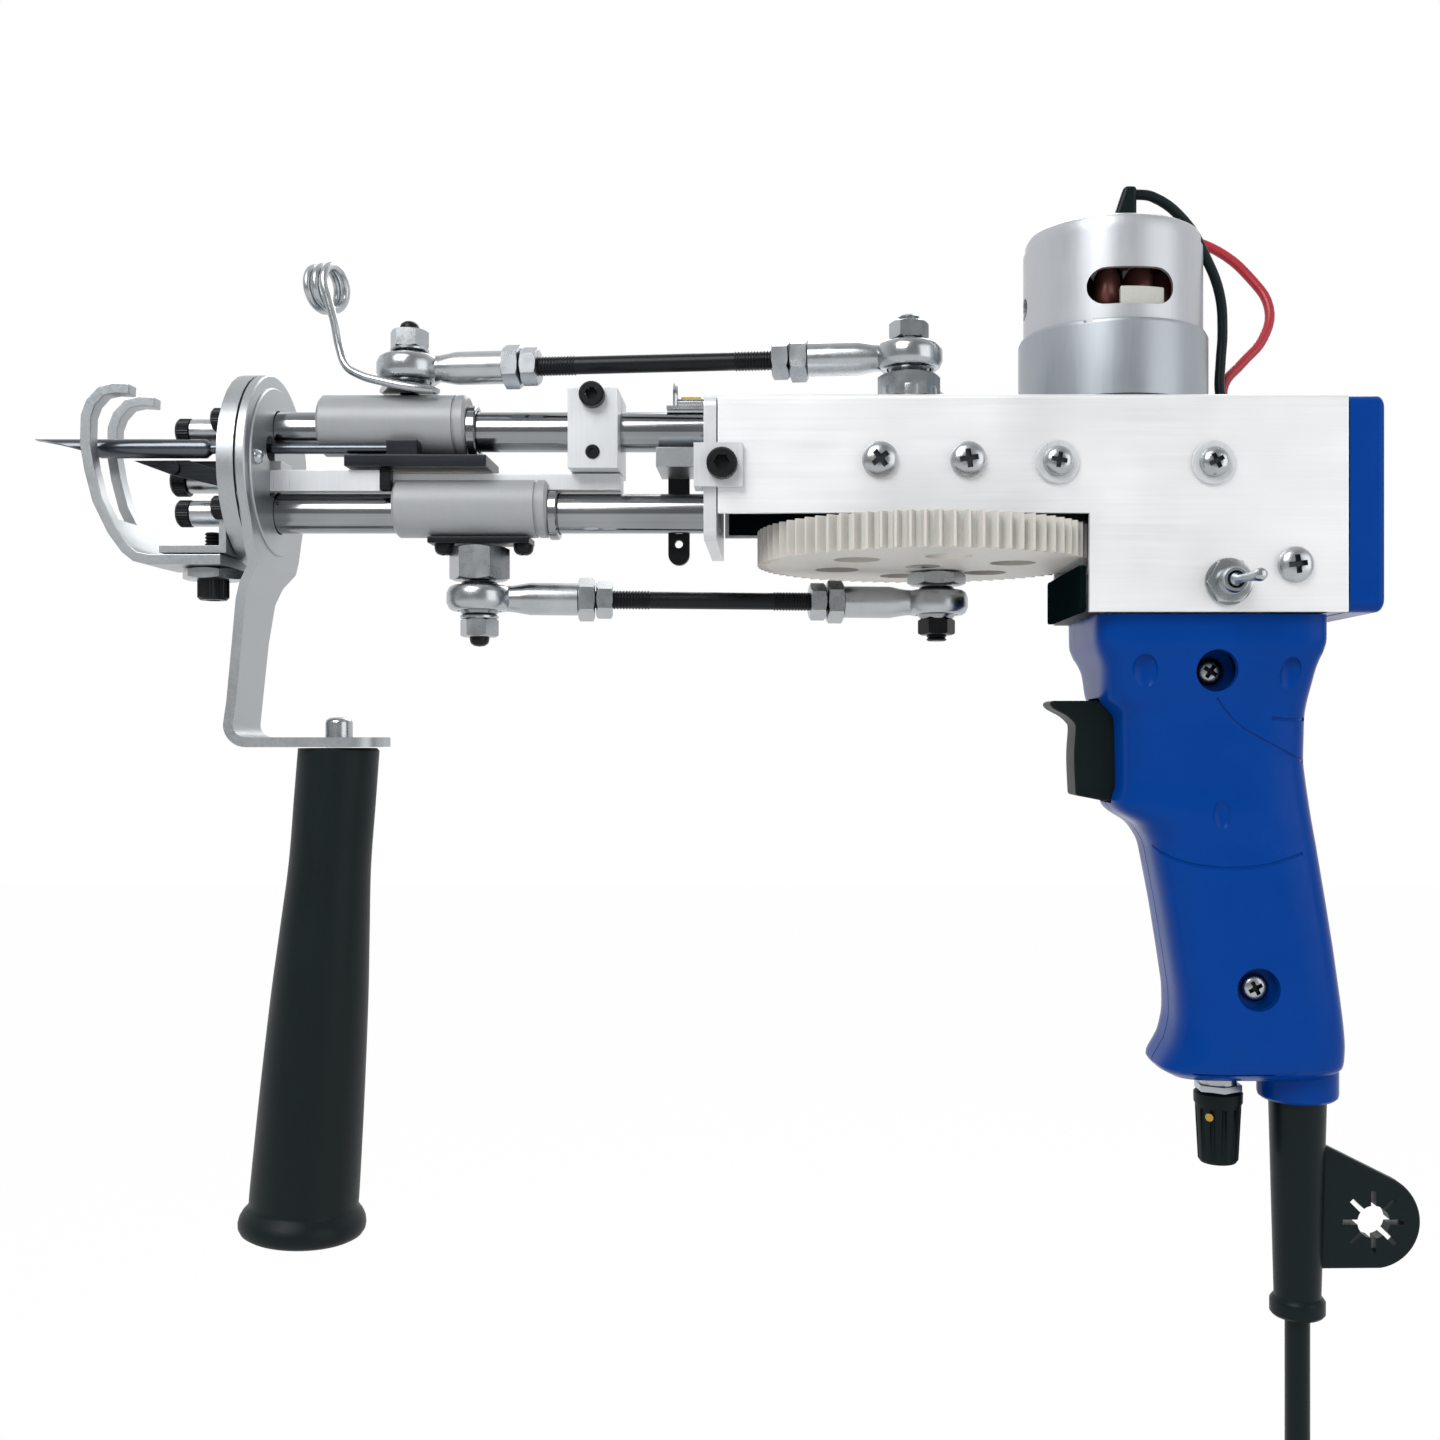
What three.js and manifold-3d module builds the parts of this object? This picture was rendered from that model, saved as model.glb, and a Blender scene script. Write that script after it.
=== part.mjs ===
// Handheld tufting machine: a geared motor turns a crank whose two pins drive a hollow needle and a pair of
// scissors, each on its own slide. Millimetres, +Z up, +X towards the rear cap, needle towards -X.
// Heights are measured from the needle line, midway between the two guide rods, and lengths from the crank axis.
import * as THREE from 'three';
import { mergeVertices } from 'three/addons/utils/BufferGeometryUtils.js';
import Module from 'manifold-3d';

const wasm = await Module();
wasm.setup();

// General values
const weld = 1e-4;
const seat = 0.3;
const overrun = 1;
const fineSides = 32;
const roundSides = 20;
const smallSides = 12;
const wireSides = 6;
const leadSides = 8;
const arcSteps = 6;
const hexSides = 6;

// Housing channel
const crankToFront = 48.5;
const crankToRear = 93.9;
const crankToStep = 35.4;
const housingWidth = 46;
const housingWall = 1.5;
const housingTop = 14.1;
const frontDepth = 26.3;
const rearDepth = 49.3;
const topCornerRadius = 2.5;
const shaftHoleDiameter = 11;
const leadHoleDiameter = 9;
const toggleFromRear = 27.2;
const toggleHeight = -28.5;
const toggleHoleDiameter = 6.4;

// Rear cap
const capThickness = 8.2;
const capCornerRadius = 3;
const capPlugDepth = 4;
const capPlugWall = 2;

// Front end plate and its angle clip
const endPlateThickness = 2.9;
const endPlateDepth = 33;
const endPlateCornerRadius = 3;
const clipLeg = 11;
const clipHeight = 9.8;
const clipThickness = 1.8;
const clipTop = 2.6;
const clipScrewHead = 7;
const clipScrewLength = 3.2;
const clipSocket = 3.4;
const clipSocketDepth = 1.8;

// Guide rods
const rodDiameter = 9.5;
const rodSpacing = 19.6;
const socketDepth = 2;

// Front disc and handle bracket
const discRadius = 22.9;
const discThickness = 3.8;
const discRear = 158;
const needleWindow = 6.2;
const bladeSlotWidth = 3.4;
const bladeSlotTop = 4.9;
const bladeSlotBottom = -6.2;
const bracketThickness = 2.3;
const bracketHoleRadius = 17.5;
const bracketRimRadius = 20;
const bracketRimHeight = 0.5;
const neckLean = 9.3;
const tabHalfWidth = 9.5;
const bracketDrop = 65.9;
const tabReach = 36;

// Front handle
const handleFromDisc = 17.4;
const handleLength = 117;
const handleTopDiameter = 19;
const handleMidDiameter = 22.6;
const handleEndDiameter = 25.4;
const handleFlareDiameter = 29.7;
const handleFlareHeight = 5;
const handleLean = 4.4;
const handleWaistShare = 0.24;
const handleStudDiameter = 5;
const handleNutFlats = 8;
const handleNutHeight = 4;

// Presser foot
const footWidth = 18;
const footSlot = 10;
const footSheet = 2.4;
const footReach = 32.5;
const footRise = 41.9;
const footUnderside = -23.7;
const footSlotEnd = 11;
const footRootGap = 1.6;
const footBracketSheet = 1.7;
const footBracketReach = 15.5;
const footBracketRise = 9;
const footNutFlats = 12.6;
const footNutHeight = 2.5;
const footBoltDiameter = 4;
const footHeadDiameter = 6.8;
const footHeadHeight = 4.7;
const footBoltFromDisc = 6.6;

// Anti-rotation bar and clamp block
const barWidth = 8;
const barHeight = 4;
const barTop = -0.7;
const barBlockLength = 4.5;
const barBlockRise = 3;
const clampLength = 11.8;
const clampWidth = 19;
const clampTop = 18.5;
const clampToPlate = 20.8;
const clampBoreGap = 0.15;
const clampSplit = 1.2;
const clampScrewHead = 5.4;
const clampScrewShank = 3;
const clampScrewRise = 2.6;

// Wire bracket, eyelet and sleeve
const spacerLength = 11.6;
const spacerHeight = 4.6;
const spacerWidth = 18;
const stripWidth = 5.2;
const stripThickness = 2;
const stripDrop = 21.4;
const stripFromSpacer = 1.7;
const eyeletWire = 1.1;
const eyeletHeight = 6.4;
const eyeletPlate = 0.9;
const eyeletPlateLength = 9.6;
const eyeletPlateWidth = 5;
const eyeletFromPlate = 7.6;

// Motor
const canDiameter = 42.3;
const canLength = 62;
const canWall = 1.2;
const canTop = 52.4;
const fluxRingWall = 0.9;
const fluxRingTop = 31.7;
const bellInset = 0.4;
const bellHeight = 3.8;
const bellBossDiameter = 17.5;
const bellBossHeight = 2.2;
const terminalSpread = 8;
const terminalHeight = 7;
const terminalWidth = 6.3;
const terminalThickness = 3.2;
const ventHeight = 9.4;
const ventAngle = 62;
const ventRise = 6.6;
const mountPlateThickness = 3;
const mountPlateLength = 32;
const motorNoseDiameter = 17.5;
const motorNoseHeight = 2.6;
const rotorAirGap = 0.35;
const rotorLength = 36;
const rotorSlots = 10;
const motorShaftDiameter = 5;
const magnetThickness = 2.6;

// Motor leads
const leadDiameter = 2.4;
const blackLeadReach = 25;
const redLeadReach = 36;
const leadTuck = 4;

// Gears
const gearPitchDiameter = 78;
const gearTeeth = 78;
const pinionTeeth = 13;
const gearThickness = 8;
const gearTop = -14.5;
const pressureAngle = 20;
const backlash = 0.35;
const addendumShare = 0.9;
const dedendumShare = 1.3;
const gearWebThickness = 4;
const gearRimWidth = 5.5;
const gearHubDiameter = 20;
const gearSpokeHoles = 6;
const gearHoleDiameter = 11;
const pinionLength = 9.6;

// Crank
const crankRadius = 13;
const restAngle = 250;
const crankShaftDiameter = 8;
const upperArmThickness = 2.9;
const upperArmGap = 0.6;
const crankArmWidth = 13;
const spacerNutFlats = 12.6;
const bearingDiameter = 22;
const bearingWidth = 7;
const bearingShoulder = 1.5;
const blockLength = 34;
const blockDepth = 23.6;
const shaftCollarDiameter = 12;

// Connecting rods
const eyeBallHeight = 8;
const eyeWidth = 6;
const eyeDiameter = 15.6;
const eyeBore = 5.4;
const eyeBoltDiameter = 5;
const eyeBallFace = 8.5;
const eyeNutFlats = 8;
const eyeNutHeight = 4;
const boltTipLength = 1.5;
const eyeToCollar = 23.6;
const shankDiameter = 7.8;
const collarFlats = 9.2;
const collarLength = 4;
const lockNutFlats = 8;
const lockNutLength = 4;
const conrodDiameter = 4.2;
const upperConrodRise = 6.3;
const lowerConrodDrop = 14.6;
const upperPinToCrank = 123.6;
const lowerPinToCrank = 106.8;

// Upper slide: sleeve, carrier and needle
const sleeveDiameter = 14.6;
const sleeveOffset = 1.5;
const upperSleeveFront = 144.4;
const upperSleeveLength = 37.5;
const lowerSleeveFront = 126.5;
const lowerSleeveLength = 39;
const sleeveBoreGap = 0.3;
const endRingDiameter = 12.6;
const endRingLength = 2.2;
const carrierFront = 136.9;
const carrierLength = 33.4;
const carrierThickness = 3.6;
const carrierWidth = 15;
const lugWall = 1;
const lugTop = 6.9;
const needleSide = 6.6;
const needleHeight = 4.6;
const needleDiameter = 4.5;
const needleBore = 3.4;
const needleTip = 210.1;
const needleCut = 16;
const needleHeel = 9.6;
const needleLip = 1.9;
const needleEnd = 168.6;
const needleBarDiameter = 2.4;

// Yarn eye
const yarnWire = 2;
const yarnCoilRadius = 5;
const yarnCoilPitch = 3;
const yarnCoilTurns = 3;
const yarnCoilHeight = 44.7;
const yarnCoilFromPin = 19.4;
const yarnStepsPerTurn = 10;

// Lower slide: sleeve, carrier and scissors
const lowerCarrierThickness = 1.7;
const lowerCarrierLength = 26;
const lowerCarrierWidth = 14;
const lowerSpacerHeight = 6.6;
const bladeThickness = 0.7;
const bladePivotHeight = 0.2;
const bladeSide = 5.3;
const bladeTipHeight = 1.9;
const bladeWidth = 3.6;
const bladeStrip = 28.7;
const bladeRise = 8;
const bladeHeel = 12;
const bladeNose = 9.5;
const bladeRearTop = -0.6;
const bladeRearWidth = 3.6;
const movingBladeLow = 2.8;
const rivetDiameter = 1.8;
const rivetHeadDiameter = 3.2;
const scissorPlateThickness = 2.2;
const scissorTab = 4.4;
const scissorTop = -0.4;

// Grip
const gripFront = 37.4;
const gripDepth = 61.6;
const gripLength = 110.9;
const gripSideStep = 2.5;
const gripWaistStep = 4.7;
const gripWall = 2.4;
const gripTopGap = 0.3;
const gripSplit = 0.3;
const gripRoundness = 3.2;
const earLength = 14;
const earHeight = 16;
const screwRecessDiameter = 9.6;
const screwRecessDepth = 3;
const cordBossDiameter = 19;
const cordBossHeight = 3.8;

// Trigger and its switch
const triggerWidth = 11;
const triggerTravel = 5;
const triggerTop = -54.9;
const triggerHeight = 23.7;
const triggerDepth = 12.5;
const triggerFace = 35.7;
const triggerHornReach = 6.2;
const triggerHornHeight = 4.6;
const triggerHornDrop = 6.4;
const triggerGap = 0.6;
const switchLength = 20;
const switchHeight = 18;
const switchWidth = 14;

// Speed control
const knobX = 71;
const knobTopDiameter = 11.6;
const knobEndDiameter = 9.4;
const knobHeight = 17.3;
const knobFlutes = 12;
const knobFluteDepth = 0.5;
const potCollarDiameter = 9;
const potNutFlats = 10;
const potBodyDiameter = 16;
const potBodyHeight = 9;
const potShaftDiameter = 6;

// Toggle switch
const toggleNutFlats = 10;
const toggleNutThickness = 1.6;
const toggleBushLength = 6.5;
const toggleBodyLength = 12.6;
const toggleBodyWidth = 7;
const toggleBodyDepth = 9;
const toggleLean = 11;
const toggleLeverLength = 11;
const toggleLeverRoot = 2;
const toggleLeverTip = 2.9;
const toggleBallDiameter = 4;

// Cord, guard and key holder
const cordX = 90.1;
const cordDiameter = 5.9;
const guardTop = -142.5;
const guardBottom = -202.3;
const guardTopDiameter = 13.6;
const guardBottomDiameter = 11;
const guardRimDiameter = 13;
const guardRimHeight = 4;
const tabThickness = 4;
const tabHoleX = 17.6;
const tabHoleHeight = 22.6;
const tabHoleRadius = 3.9;
const tabShoulder = 20.3;
const tabRise = 18;
const tabSlotReach = 7.4;
const tabSlotWidth = 1.2;
const tabSlots = 8;
const tabArcStart = 68;
const tabArcEnd = -81;
const dropLength = 32;
const hankRun = 88;
const hankFoldRadius = 17.8;
const hankPitch = 6.5;
const hankWaist = 7;
const hankRounds = 4;
const hankStepsPerRound = 20;
const tieHeight = 8;
const tieThickness = 1.6;
const tieGap = 1;
const socketLength = 26;
const socketDiameter = 10.5;
const socketBore = 5.5;
const socketBoreDepth = 9;
const socketNeckDiameter = 8;

// Origin: the point of the grip that the hand closes round
const holdX = 74;
const holdZ = -90.8;

// Sizes that follow from the ones above
const axisX = new THREE.Vector3(1, 0, 0);
const axisY = new THREE.Vector3(0, 1, 0);
const axisZ = new THREE.Vector3(0, 0, 1);
const rotorDiameter = canDiameter - 2 * (canWall + magnetThickness + rotorAirGap);
const gripHalfWidth = housingWidth / 2 - gripSideStep;
const gripWaist = gripHalfWidth - gripWaistStep;
const frontBottom = housingTop - frontDepth;
const rearBottom = housingTop - rearDepth;
const upperRodZ = rodSpacing / 2;
const lowerRodZ = -rodSpacing / 2;
const upperConrodHeight = upperRodZ + sleeveOffset + sleeveDiameter / 2 + upperConrodRise;
const lowerConrodHeight = lowerRodZ + sleeveOffset - sleeveDiameter / 2 - lowerConrodDrop;
const rodRadius = rodDiameter / 2;
const endPlateRear = -crankToFront - seat;
const endPlateFront = endPlateRear - endPlateThickness;
const discFront = -discRear - discThickness;
const gearModule = gearPitchDiameter / gearTeeth;
const gearRadius = gearPitchDiameter / 2;
const motorToCrank = gearRadius + (gearModule * pinionTeeth) / 2;
const gearBottom = gearTop - gearThickness;
const pinAngle = THREE.MathUtils.degToRad(restAngle);
const upperPin = { x: crankRadius * Math.cos(pinAngle), y: crankRadius * Math.sin(pinAngle) };
const lowerPin = { x: -upperPin.x, y: -upperPin.y };

// Solids from closed geometries, and back
const toSolid = (geometry) => {
  const source = geometry.index ? geometry.toNonIndexed() : geometry;
  const bare = new THREE.BufferGeometry();
  bare.setAttribute('position', source.getAttribute('position').clone());
  const merged = mergeVertices(bare, weld);
  const mesh = new wasm.Mesh({
    numProp: 3,
    vertProperties: merged.attributes.position.array,
    triVerts: new Uint32Array(merged.index.array),
  });
  return new wasm.Manifold(mesh);
};

const toGeometry = (solid) => {
  const mesh = solid.getMesh();
  const geometry = new THREE.BufferGeometry();
  geometry.setAttribute('position', new THREE.BufferAttribute(new Float32Array(mesh.vertProperties), 3));
  geometry.setIndex(new THREE.BufferAttribute(new Uint32Array(mesh.triVerts), 1));
  return geometry;
};

const join = (...pieces) => toGeometry(pieces.map(toSolid).reduce((sum, piece) => sum.add(piece)));
const cut = (base, ...tools) => {
  const left = tools.map(toSolid).reduce((rest, tool) => rest.subtract(tool), toSolid(base));
  return toGeometry(left);
};
const common = (first, second) => toGeometry(toSolid(first).intersect(toSolid(second)));

// An outline lies in the plane across its axis: y,z for x; x,z for y; x,y for z
const frames = {
  x: new THREE.Matrix4().makeBasis(axisY, axisZ, axisX),
  y: new THREE.Matrix4().makeBasis(axisX, axisZ, axisY.clone().negate()),
  z: new THREE.Matrix4(),
};

const extrude = (axis, shape, from, to, bevel = 0) => {
  const geometry = new THREE.ExtrudeGeometry(shape, {
    depth: to - from - 2 * bevel,
    bevelEnabled: bevel > 0,
    bevelThickness: bevel,
    bevelSize: bevel,
    bevelOffset: -bevel,
    bevelSegments: 1,
    curveSegments: arcSteps,
    steps: 1,
  });
  geometry.translate(0, 0, (axis === 'y' ? -to : from) + bevel);
  return geometry.applyMatrix4(frames[axis]);
};

const outline = (points) => new THREE.Shape(points.map(([u, v]) => new THREE.Vector2(u, v)));

const box = (x0, x1, y0, y1, z0, z1) => {
  const geometry = new THREE.BoxGeometry(x1 - x0, y1 - y0, z1 - z0);
  return geometry.translate((x0 + x1) / 2, (y0 + y1) / 2, (z0 + z1) / 2);
};

// A straight or tapered round along an axis, from one place to another, centred at u, v across it
const taper = (axis, startRadius, endRadius, from, to, u = 0, v = 0, sides = roundSides) => {
  const geometry = new THREE.CylinderGeometry(endRadius, startRadius, to - from, sides);
  geometry.rotateX(Math.PI / 2);
  geometry.translate(0, 0, (from + to) / 2);
  if (axis === 'x') {
    geometry.applyMatrix4(frames.x);
    return geometry.translate(0, u, v);
  }
  if (axis === 'y') {
    geometry.applyMatrix4(new THREE.Matrix4().makeBasis(axisZ, axisX, axisY));
    return geometry.translate(u, 0, v);
  }
  return geometry.translate(u, v, 0);
};
const round = (axis, radius, from, to, u = 0, v = 0, sides = roundSides) =>
  taper(axis, radius, radius, from, to, u, v, sides);
const hex = (axis, flats, from, to, u = 0, v = 0) =>
  round(axis, flats / Math.sqrt(3), from, to, u, v, hexSides);

// A turned piece round Z from a profile of [radius, height] points that starts and ends on the axis
const turned = (profile, sides = roundSides) => {
  const points = profile.map(([radius, height]) => new THREE.Vector2(radius, height));
  return new THREE.LatheGeometry(points, sides).rotateX(Math.PI / 2);
};

const roundedRect = (u0, u1, v0, v1, radius) => {
  const shape = new THREE.Shape();
  shape.moveTo(u0 + radius, v0);
  shape.lineTo(u1 - radius, v0);
  shape.absarc(u1 - radius, v0 + radius, radius, -Math.PI / 2, 0);
  shape.lineTo(u1, v1 - radius);
  shape.absarc(u1 - radius, v1 - radius, radius, 0, Math.PI / 2);
  shape.lineTo(u0 + radius, v1);
  shape.absarc(u0 + radius, v1 - radius, radius, Math.PI / 2, Math.PI);
  shape.lineTo(u0, v0 + radius);
  shape.absarc(u0 + radius, v0 + radius, radius, Math.PI, Math.PI * 1.5);
  return shape;
};

// A round wire or lead of one section along a smooth curve
const circleShape = (radius, sides) => {
  const points = [];
  for (let i = 0; i < sides; i += 1) {
    const angle = (i / sides) * Math.PI * 2;
    points.push([radius * Math.cos(angle), radius * Math.sin(angle)]);
  }
  return outline(points);
};
const wire = (points, radius, sides, steps) =>
  new THREE.ExtrudeGeometry(circleShape(radius, sides), {
    extrudePath: new THREE.CatmullRomCurve3(points.map((p) => new THREE.Vector3(...p)), false, 'centripetal'),
    steps,
    bevelEnabled: false,
  });

// A closed tube through points that a formula gives, its section carried along without twist
const sweep = (points, radius, sides) => {
  const tangents = points.map((point, i) => {
    const before = points[Math.max(i - 1, 0)];
    const after = points[Math.min(i + 1, points.length - 1)];
    return after.clone().sub(before).normalize();
  });
  let side = new THREE.Vector3(0, 1, 0).cross(tangents[0]);
  if (side.lengthSq() < weld) side = new THREE.Vector3(1, 0, 0);
  const vertices = [];
  points.forEach((point, i) => {
    side.addScaledVector(tangents[i], -side.dot(tangents[i])).normalize();
    const up = tangents[i].clone().cross(side);
    for (let k = 0; k < sides; k += 1) {
      const angle = (k / sides) * Math.PI * 2;
      const offset = side.clone().multiplyScalar(radius * Math.cos(angle));
      offset.addScaledVector(up, radius * Math.sin(angle));
      vertices.push(...point.clone().add(offset).toArray());
    }
  });
  const faces = [];
  const rings = points.length;
  for (let i = 0; i < rings - 1; i += 1) {
    for (let k = 0; k < sides; k += 1) {
      const a = i * sides + k;
      const b = i * sides + ((k + 1) % sides);
      faces.push(a, b, b + sides, a, b + sides, a + sides);
    }
  }
  for (let k = 1; k < sides - 1; k += 1) {
    faces.push(0, k + 1, k);
    const last = (rings - 1) * sides;
    faces.push(last, last + k, last + k + 1);
  }
  const geometry = new THREE.BufferGeometry();
  geometry.setAttribute('position', new THREE.Float32BufferAttribute(vertices, 3));
  geometry.setIndex(faces);
  return geometry;
};

// The smallest distance between turns of one tube, less its diameter
const leastGap = (points, diameter) => {
  let least = Infinity;
  const along = [0];
  for (let i = 1; i < points.length; i += 1) along.push(along[i - 1] + points[i].distanceTo(points[i - 1]));
  for (let i = 0; i < points.length; i += 1) {
    for (let k = i + 1; k < points.length; k += 1) {
      if (along[k] - along[i] > 3 * diameter) least = Math.min(least, points[i].distanceTo(points[k]));
    }
  }
  return { gap: least - diameter, length: along[along.length - 1] };
};

const finish = (color, roughness, metalness) => ({ color, roughness, metalness });
const brushedAluminium = finish(0xdfe1e3, 0.42, 0.85);
const zincSteel = finish(0xb6bbbd, 0.36, 0.9);
const polishedSteel = finish(0x8f9498, 0.16, 1);
const blackSteel = finish(0x14171a, 0.45, 0.6);
const whiteNylon = finish(0xd6d4cd, 0.5, 0);
const greyPom = finish(0xb9bab8, 0.45, 0);
const bluePlastic = finish(0x0b3fa6, 0.22, 0);
const blackRubber = finish(0x121316, 0.7, 0);
const blackPlastic = finish(0x17181b, 0.4, 0);
const paintedCan = finish(0xa9adb0, 0.34, 0.8);
const copperRotor = finish(0x8f5a3c, 0.5, 0.6);
const redWire = finish(0xb01b22, 0.5, 0);
const machine = new THREE.Group();
const add = (name, geometry, { color, roughness, metalness }) => {
  const material = new THREE.MeshStandardMaterial({ color, roughness, metalness });
  const mesh = new THREE.Mesh(geometry, material);
  mesh.name = name;
  machine.add(mesh);
  return mesh;
};

// Housing: an L-shaped channel folded from sheet, open below and in front of the gear
function housing() {
  const half = housingWidth / 2;
  const profile = (rear, step, bottomFront, bottomRear, top) => {
    const shape = new THREE.Shape();
    shape.moveTo(-crankToFront, bottomFront);
    shape.lineTo(step, bottomFront);
    shape.lineTo(step, bottomRear);
    shape.lineTo(rear, bottomRear);
    shape.lineTo(rear, top);
    shape.lineTo(-crankToFront, top);
    return shape;
  };
  const outer = extrude('y', profile(crankToRear, crankToStep, frontBottom, rearBottom, housingTop), -half, half);
  const inside = half - housingWall;
  const hollow = box(
    -crankToFront - overrun, crankToRear + overrun, -inside, inside, rearBottom - overrun, housingTop - housingWall,
  );
  const corners = cut(
    box(-crankToFront - overrun, crankToRear + overrun, -half - overrun, half + overrun,
      rearBottom - overrun, housingTop + overrun),
    extrude('x', roundedRect(-half, half, rearBottom - 2 * overrun, housingTop, topCornerRadius),
      -crankToFront - 2 * overrun, crankToRear + 2 * overrun),
  );
  const through = [
    round('z', canDiameter / 2 + seat, canBottom - seat, housingTop + overrun, motorToCrank, 0, fineSides),
    round('z', shaftHoleDiameter / 2, 0, housingTop + overrun, 0, 0),
    round('z', leadHoleDiameter / 2, 0, housingTop + overrun, leadHole.x, leadHole.y, smallSides),
    round('y', toggleHoleDiameter / 2, -half - overrun, 0, toggleX, toggleHeight, smallSides),
  ];
  add('housing_channel', cut(outer, hollow, corners, ...through), brushedAluminium);
}
const leadHole = { x: motorToCrank + canDiameter / 2 + seat + leadHoleDiameter / 2 + housingWall, y: 0 };
const toggleX = crankToRear - toggleFromRear;

function rearCap() {
  const half = housingWidth / 2;
  const start = crankToRear + seat;
  const plate = extrude('x', roundedRect(-half, half, rearBottom, housingTop, capCornerRadius),
    start, start + capThickness, capCornerRadius / 3);
  const inside = half - housingWall - seat;
  const plugTop = housingTop - housingWall - seat;
  const plug = cut(
    box(start - capPlugDepth, start + capPlugWall, -inside, inside, rearBottom, plugTop),
    box(start - capPlugDepth - overrun, start, -inside + capPlugWall, inside - capPlugWall,
      rearBottom - overrun, plugTop - capPlugWall),
  );
  add('rear_cap', join(plate, plug), bluePlastic);
}

// Front end plate: steel, drilled for the two guide rods
function frontEndPlate() {
  const half = housingWidth / 2;
  const bottom = housingTop - endPlateDepth;
  const shape = roundedRect(-half, half, bottom, housingTop, endPlateCornerRadius);
  const bores = [upperRodZ, lowerRodZ].map((z) =>
    round('x', rodRadius + seat, endPlateFront - overrun, endPlateRear + overrun, 0, z));
  add('front_end_plate', cut(extrude('x', shape, endPlateFront, endPlateRear), ...bores), zincSteel);
}

// Angle clip with its socket screw, which ties the end plate to the housing's side
function angleClip() {
  const side = -housingWidth / 2 - seat;
  const front = endPlateFront - seat - clipThickness;
  const rear = front + clipLeg;
  const bottom = clipTop - clipHeight;
  const leg = box(front, rear, side - clipThickness, side, bottom, clipTop);
  const lip = box(front, front + clipThickness, side - clipThickness, side + clipLeg / 2, bottom, clipTop);
  const middle = (front + clipThickness + rear) / 2;
  const height = (bottom + clipTop) / 2;
  const face = side - clipThickness;
  const head = round('y', clipScrewHead / 2, face - clipScrewLength, face + clipThickness / 2, middle, height);
  const socket = hex('y', clipSocket, face - clipScrewLength - overrun,
    face - clipScrewLength + clipSocketDepth, middle, height);
  add('angle_clip', cut(join(leg, lip, head), socket), zincSteel);
}

function guideRods() {
  const front = -discRear - socketDepth + seat;
  const rear = endPlateRear;
  add('upper_guide_rod', round('x', rodRadius, front, rear, 0, upperRodZ), polishedSteel);
  add('lower_guide_rod', round('x', rodRadius, front, rear, 0, lowerRodZ), polishedSteel);
}

// Front disc: sockets for the rods, a round window for the needle and a slot for the scissors
function frontDisc() {
  const plate = round('x', discRadius, discFront, -discRear, 0, 0, fineSides);
  const sockets = [upperRodZ, lowerRodZ].map((z) =>
    round('x', rodRadius + seat, -discRear - socketDepth, -discRear + overrun, 0, z));
  const window = round('x', needleWindow / 2, discFront - overrun, -discRear + overrun, -needleSide, needleHeight,
    smallSides);
  const slot = box(discFront - overrun, -discRear + overrun, -bladeSide - bladeSlotWidth / 2,
    -bladeSide + bladeSlotWidth / 2, bladeSlotBottom, bladeSlotTop);
  add('front_disc', cut(plate, ...sockets, window, slot), zincSteel);
}

// Handle bracket: a ringed plate behind the disc, a leaning neck and a level tab for the handle
const bracketFront = -discRear + seat;
const bracketRear = bracketFront + bracketThickness;
const tabTop = -bracketDrop + bracketThickness;
const neckShift = (tabTop + discRadius) * -Math.tan(THREE.MathUtils.degToRad(neckLean));
// Rows of the neck's fall from the disc's centre and its half width, as shares of the drop and of the disc's radius
const neckShares = [
  [0.12, 0.93], [0.21, 0.8], [0.3, 0.66], [0.38, 0.55], [0.48, 0.46], [0.62, 0.4], [0.8, 0.35], [0.95, 0.33],
];
function handleBracket() {
  const plate = cut(
    round('x', discRadius, bracketFront, bracketRear, 0, 0, fineSides),
    round('x', bracketHoleRadius, bracketFront - overrun, bracketRear + overrun, 0, 0, fineSides),
  );
  const rim = cut(
    round('x', bracketRimRadius, bracketFront + bracketThickness / 2, bracketRear + bracketRimHeight, 0, 0, fineSides),
    round('x', bracketHoleRadius, bracketFront - overrun, bracketRear + overrun, 0, 0, fineSides),
  );
  const side = extrude('y', outline([
    [bracketFront, 0],
    [bracketFront, -discRadius],
    [bracketFront - neckShift, tabTop],
    [bracketFront - neckShift, -bracketDrop],
    [bracketFront - neckShift + tabReach, -bracketDrop],
    [bracketFront - neckShift + tabReach, tabTop],
    [bracketRear - neckShift, tabTop],
    [bracketRear, -discRadius],
    [bracketRear, 0],
  ]), -discRadius, discRadius);
  const edge = neckShares.map(([down, across]) => [across * discRadius, -down * bracketDrop]);
  edge.push([tabHalfWidth, tabTop], [tabHalfWidth, -bracketDrop - overrun]);
  const mirrored = edge.map(([across, height]) => [-across, height]).reverse();
  const spread = extrude('x', outline([...edge, ...mirrored]), bracketFront - 2 * neckShift, tabReach - discRear);
  const window = round('x', bracketHoleRadius, bracketFront - overrun, bracketRear + overrun, 0, 0, fineSides);
  const hole = round('z', handleStudDiameter / 2 + seat, -bracketDrop - overrun, tabTop + overrun, handleX, 0,
    smallSides);
  add('handle_bracket', cut(join(plate, rim, common(side, spread)), window, hole), zincSteel);
}
const handleX = -discRear + handleFromDisc;

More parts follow.
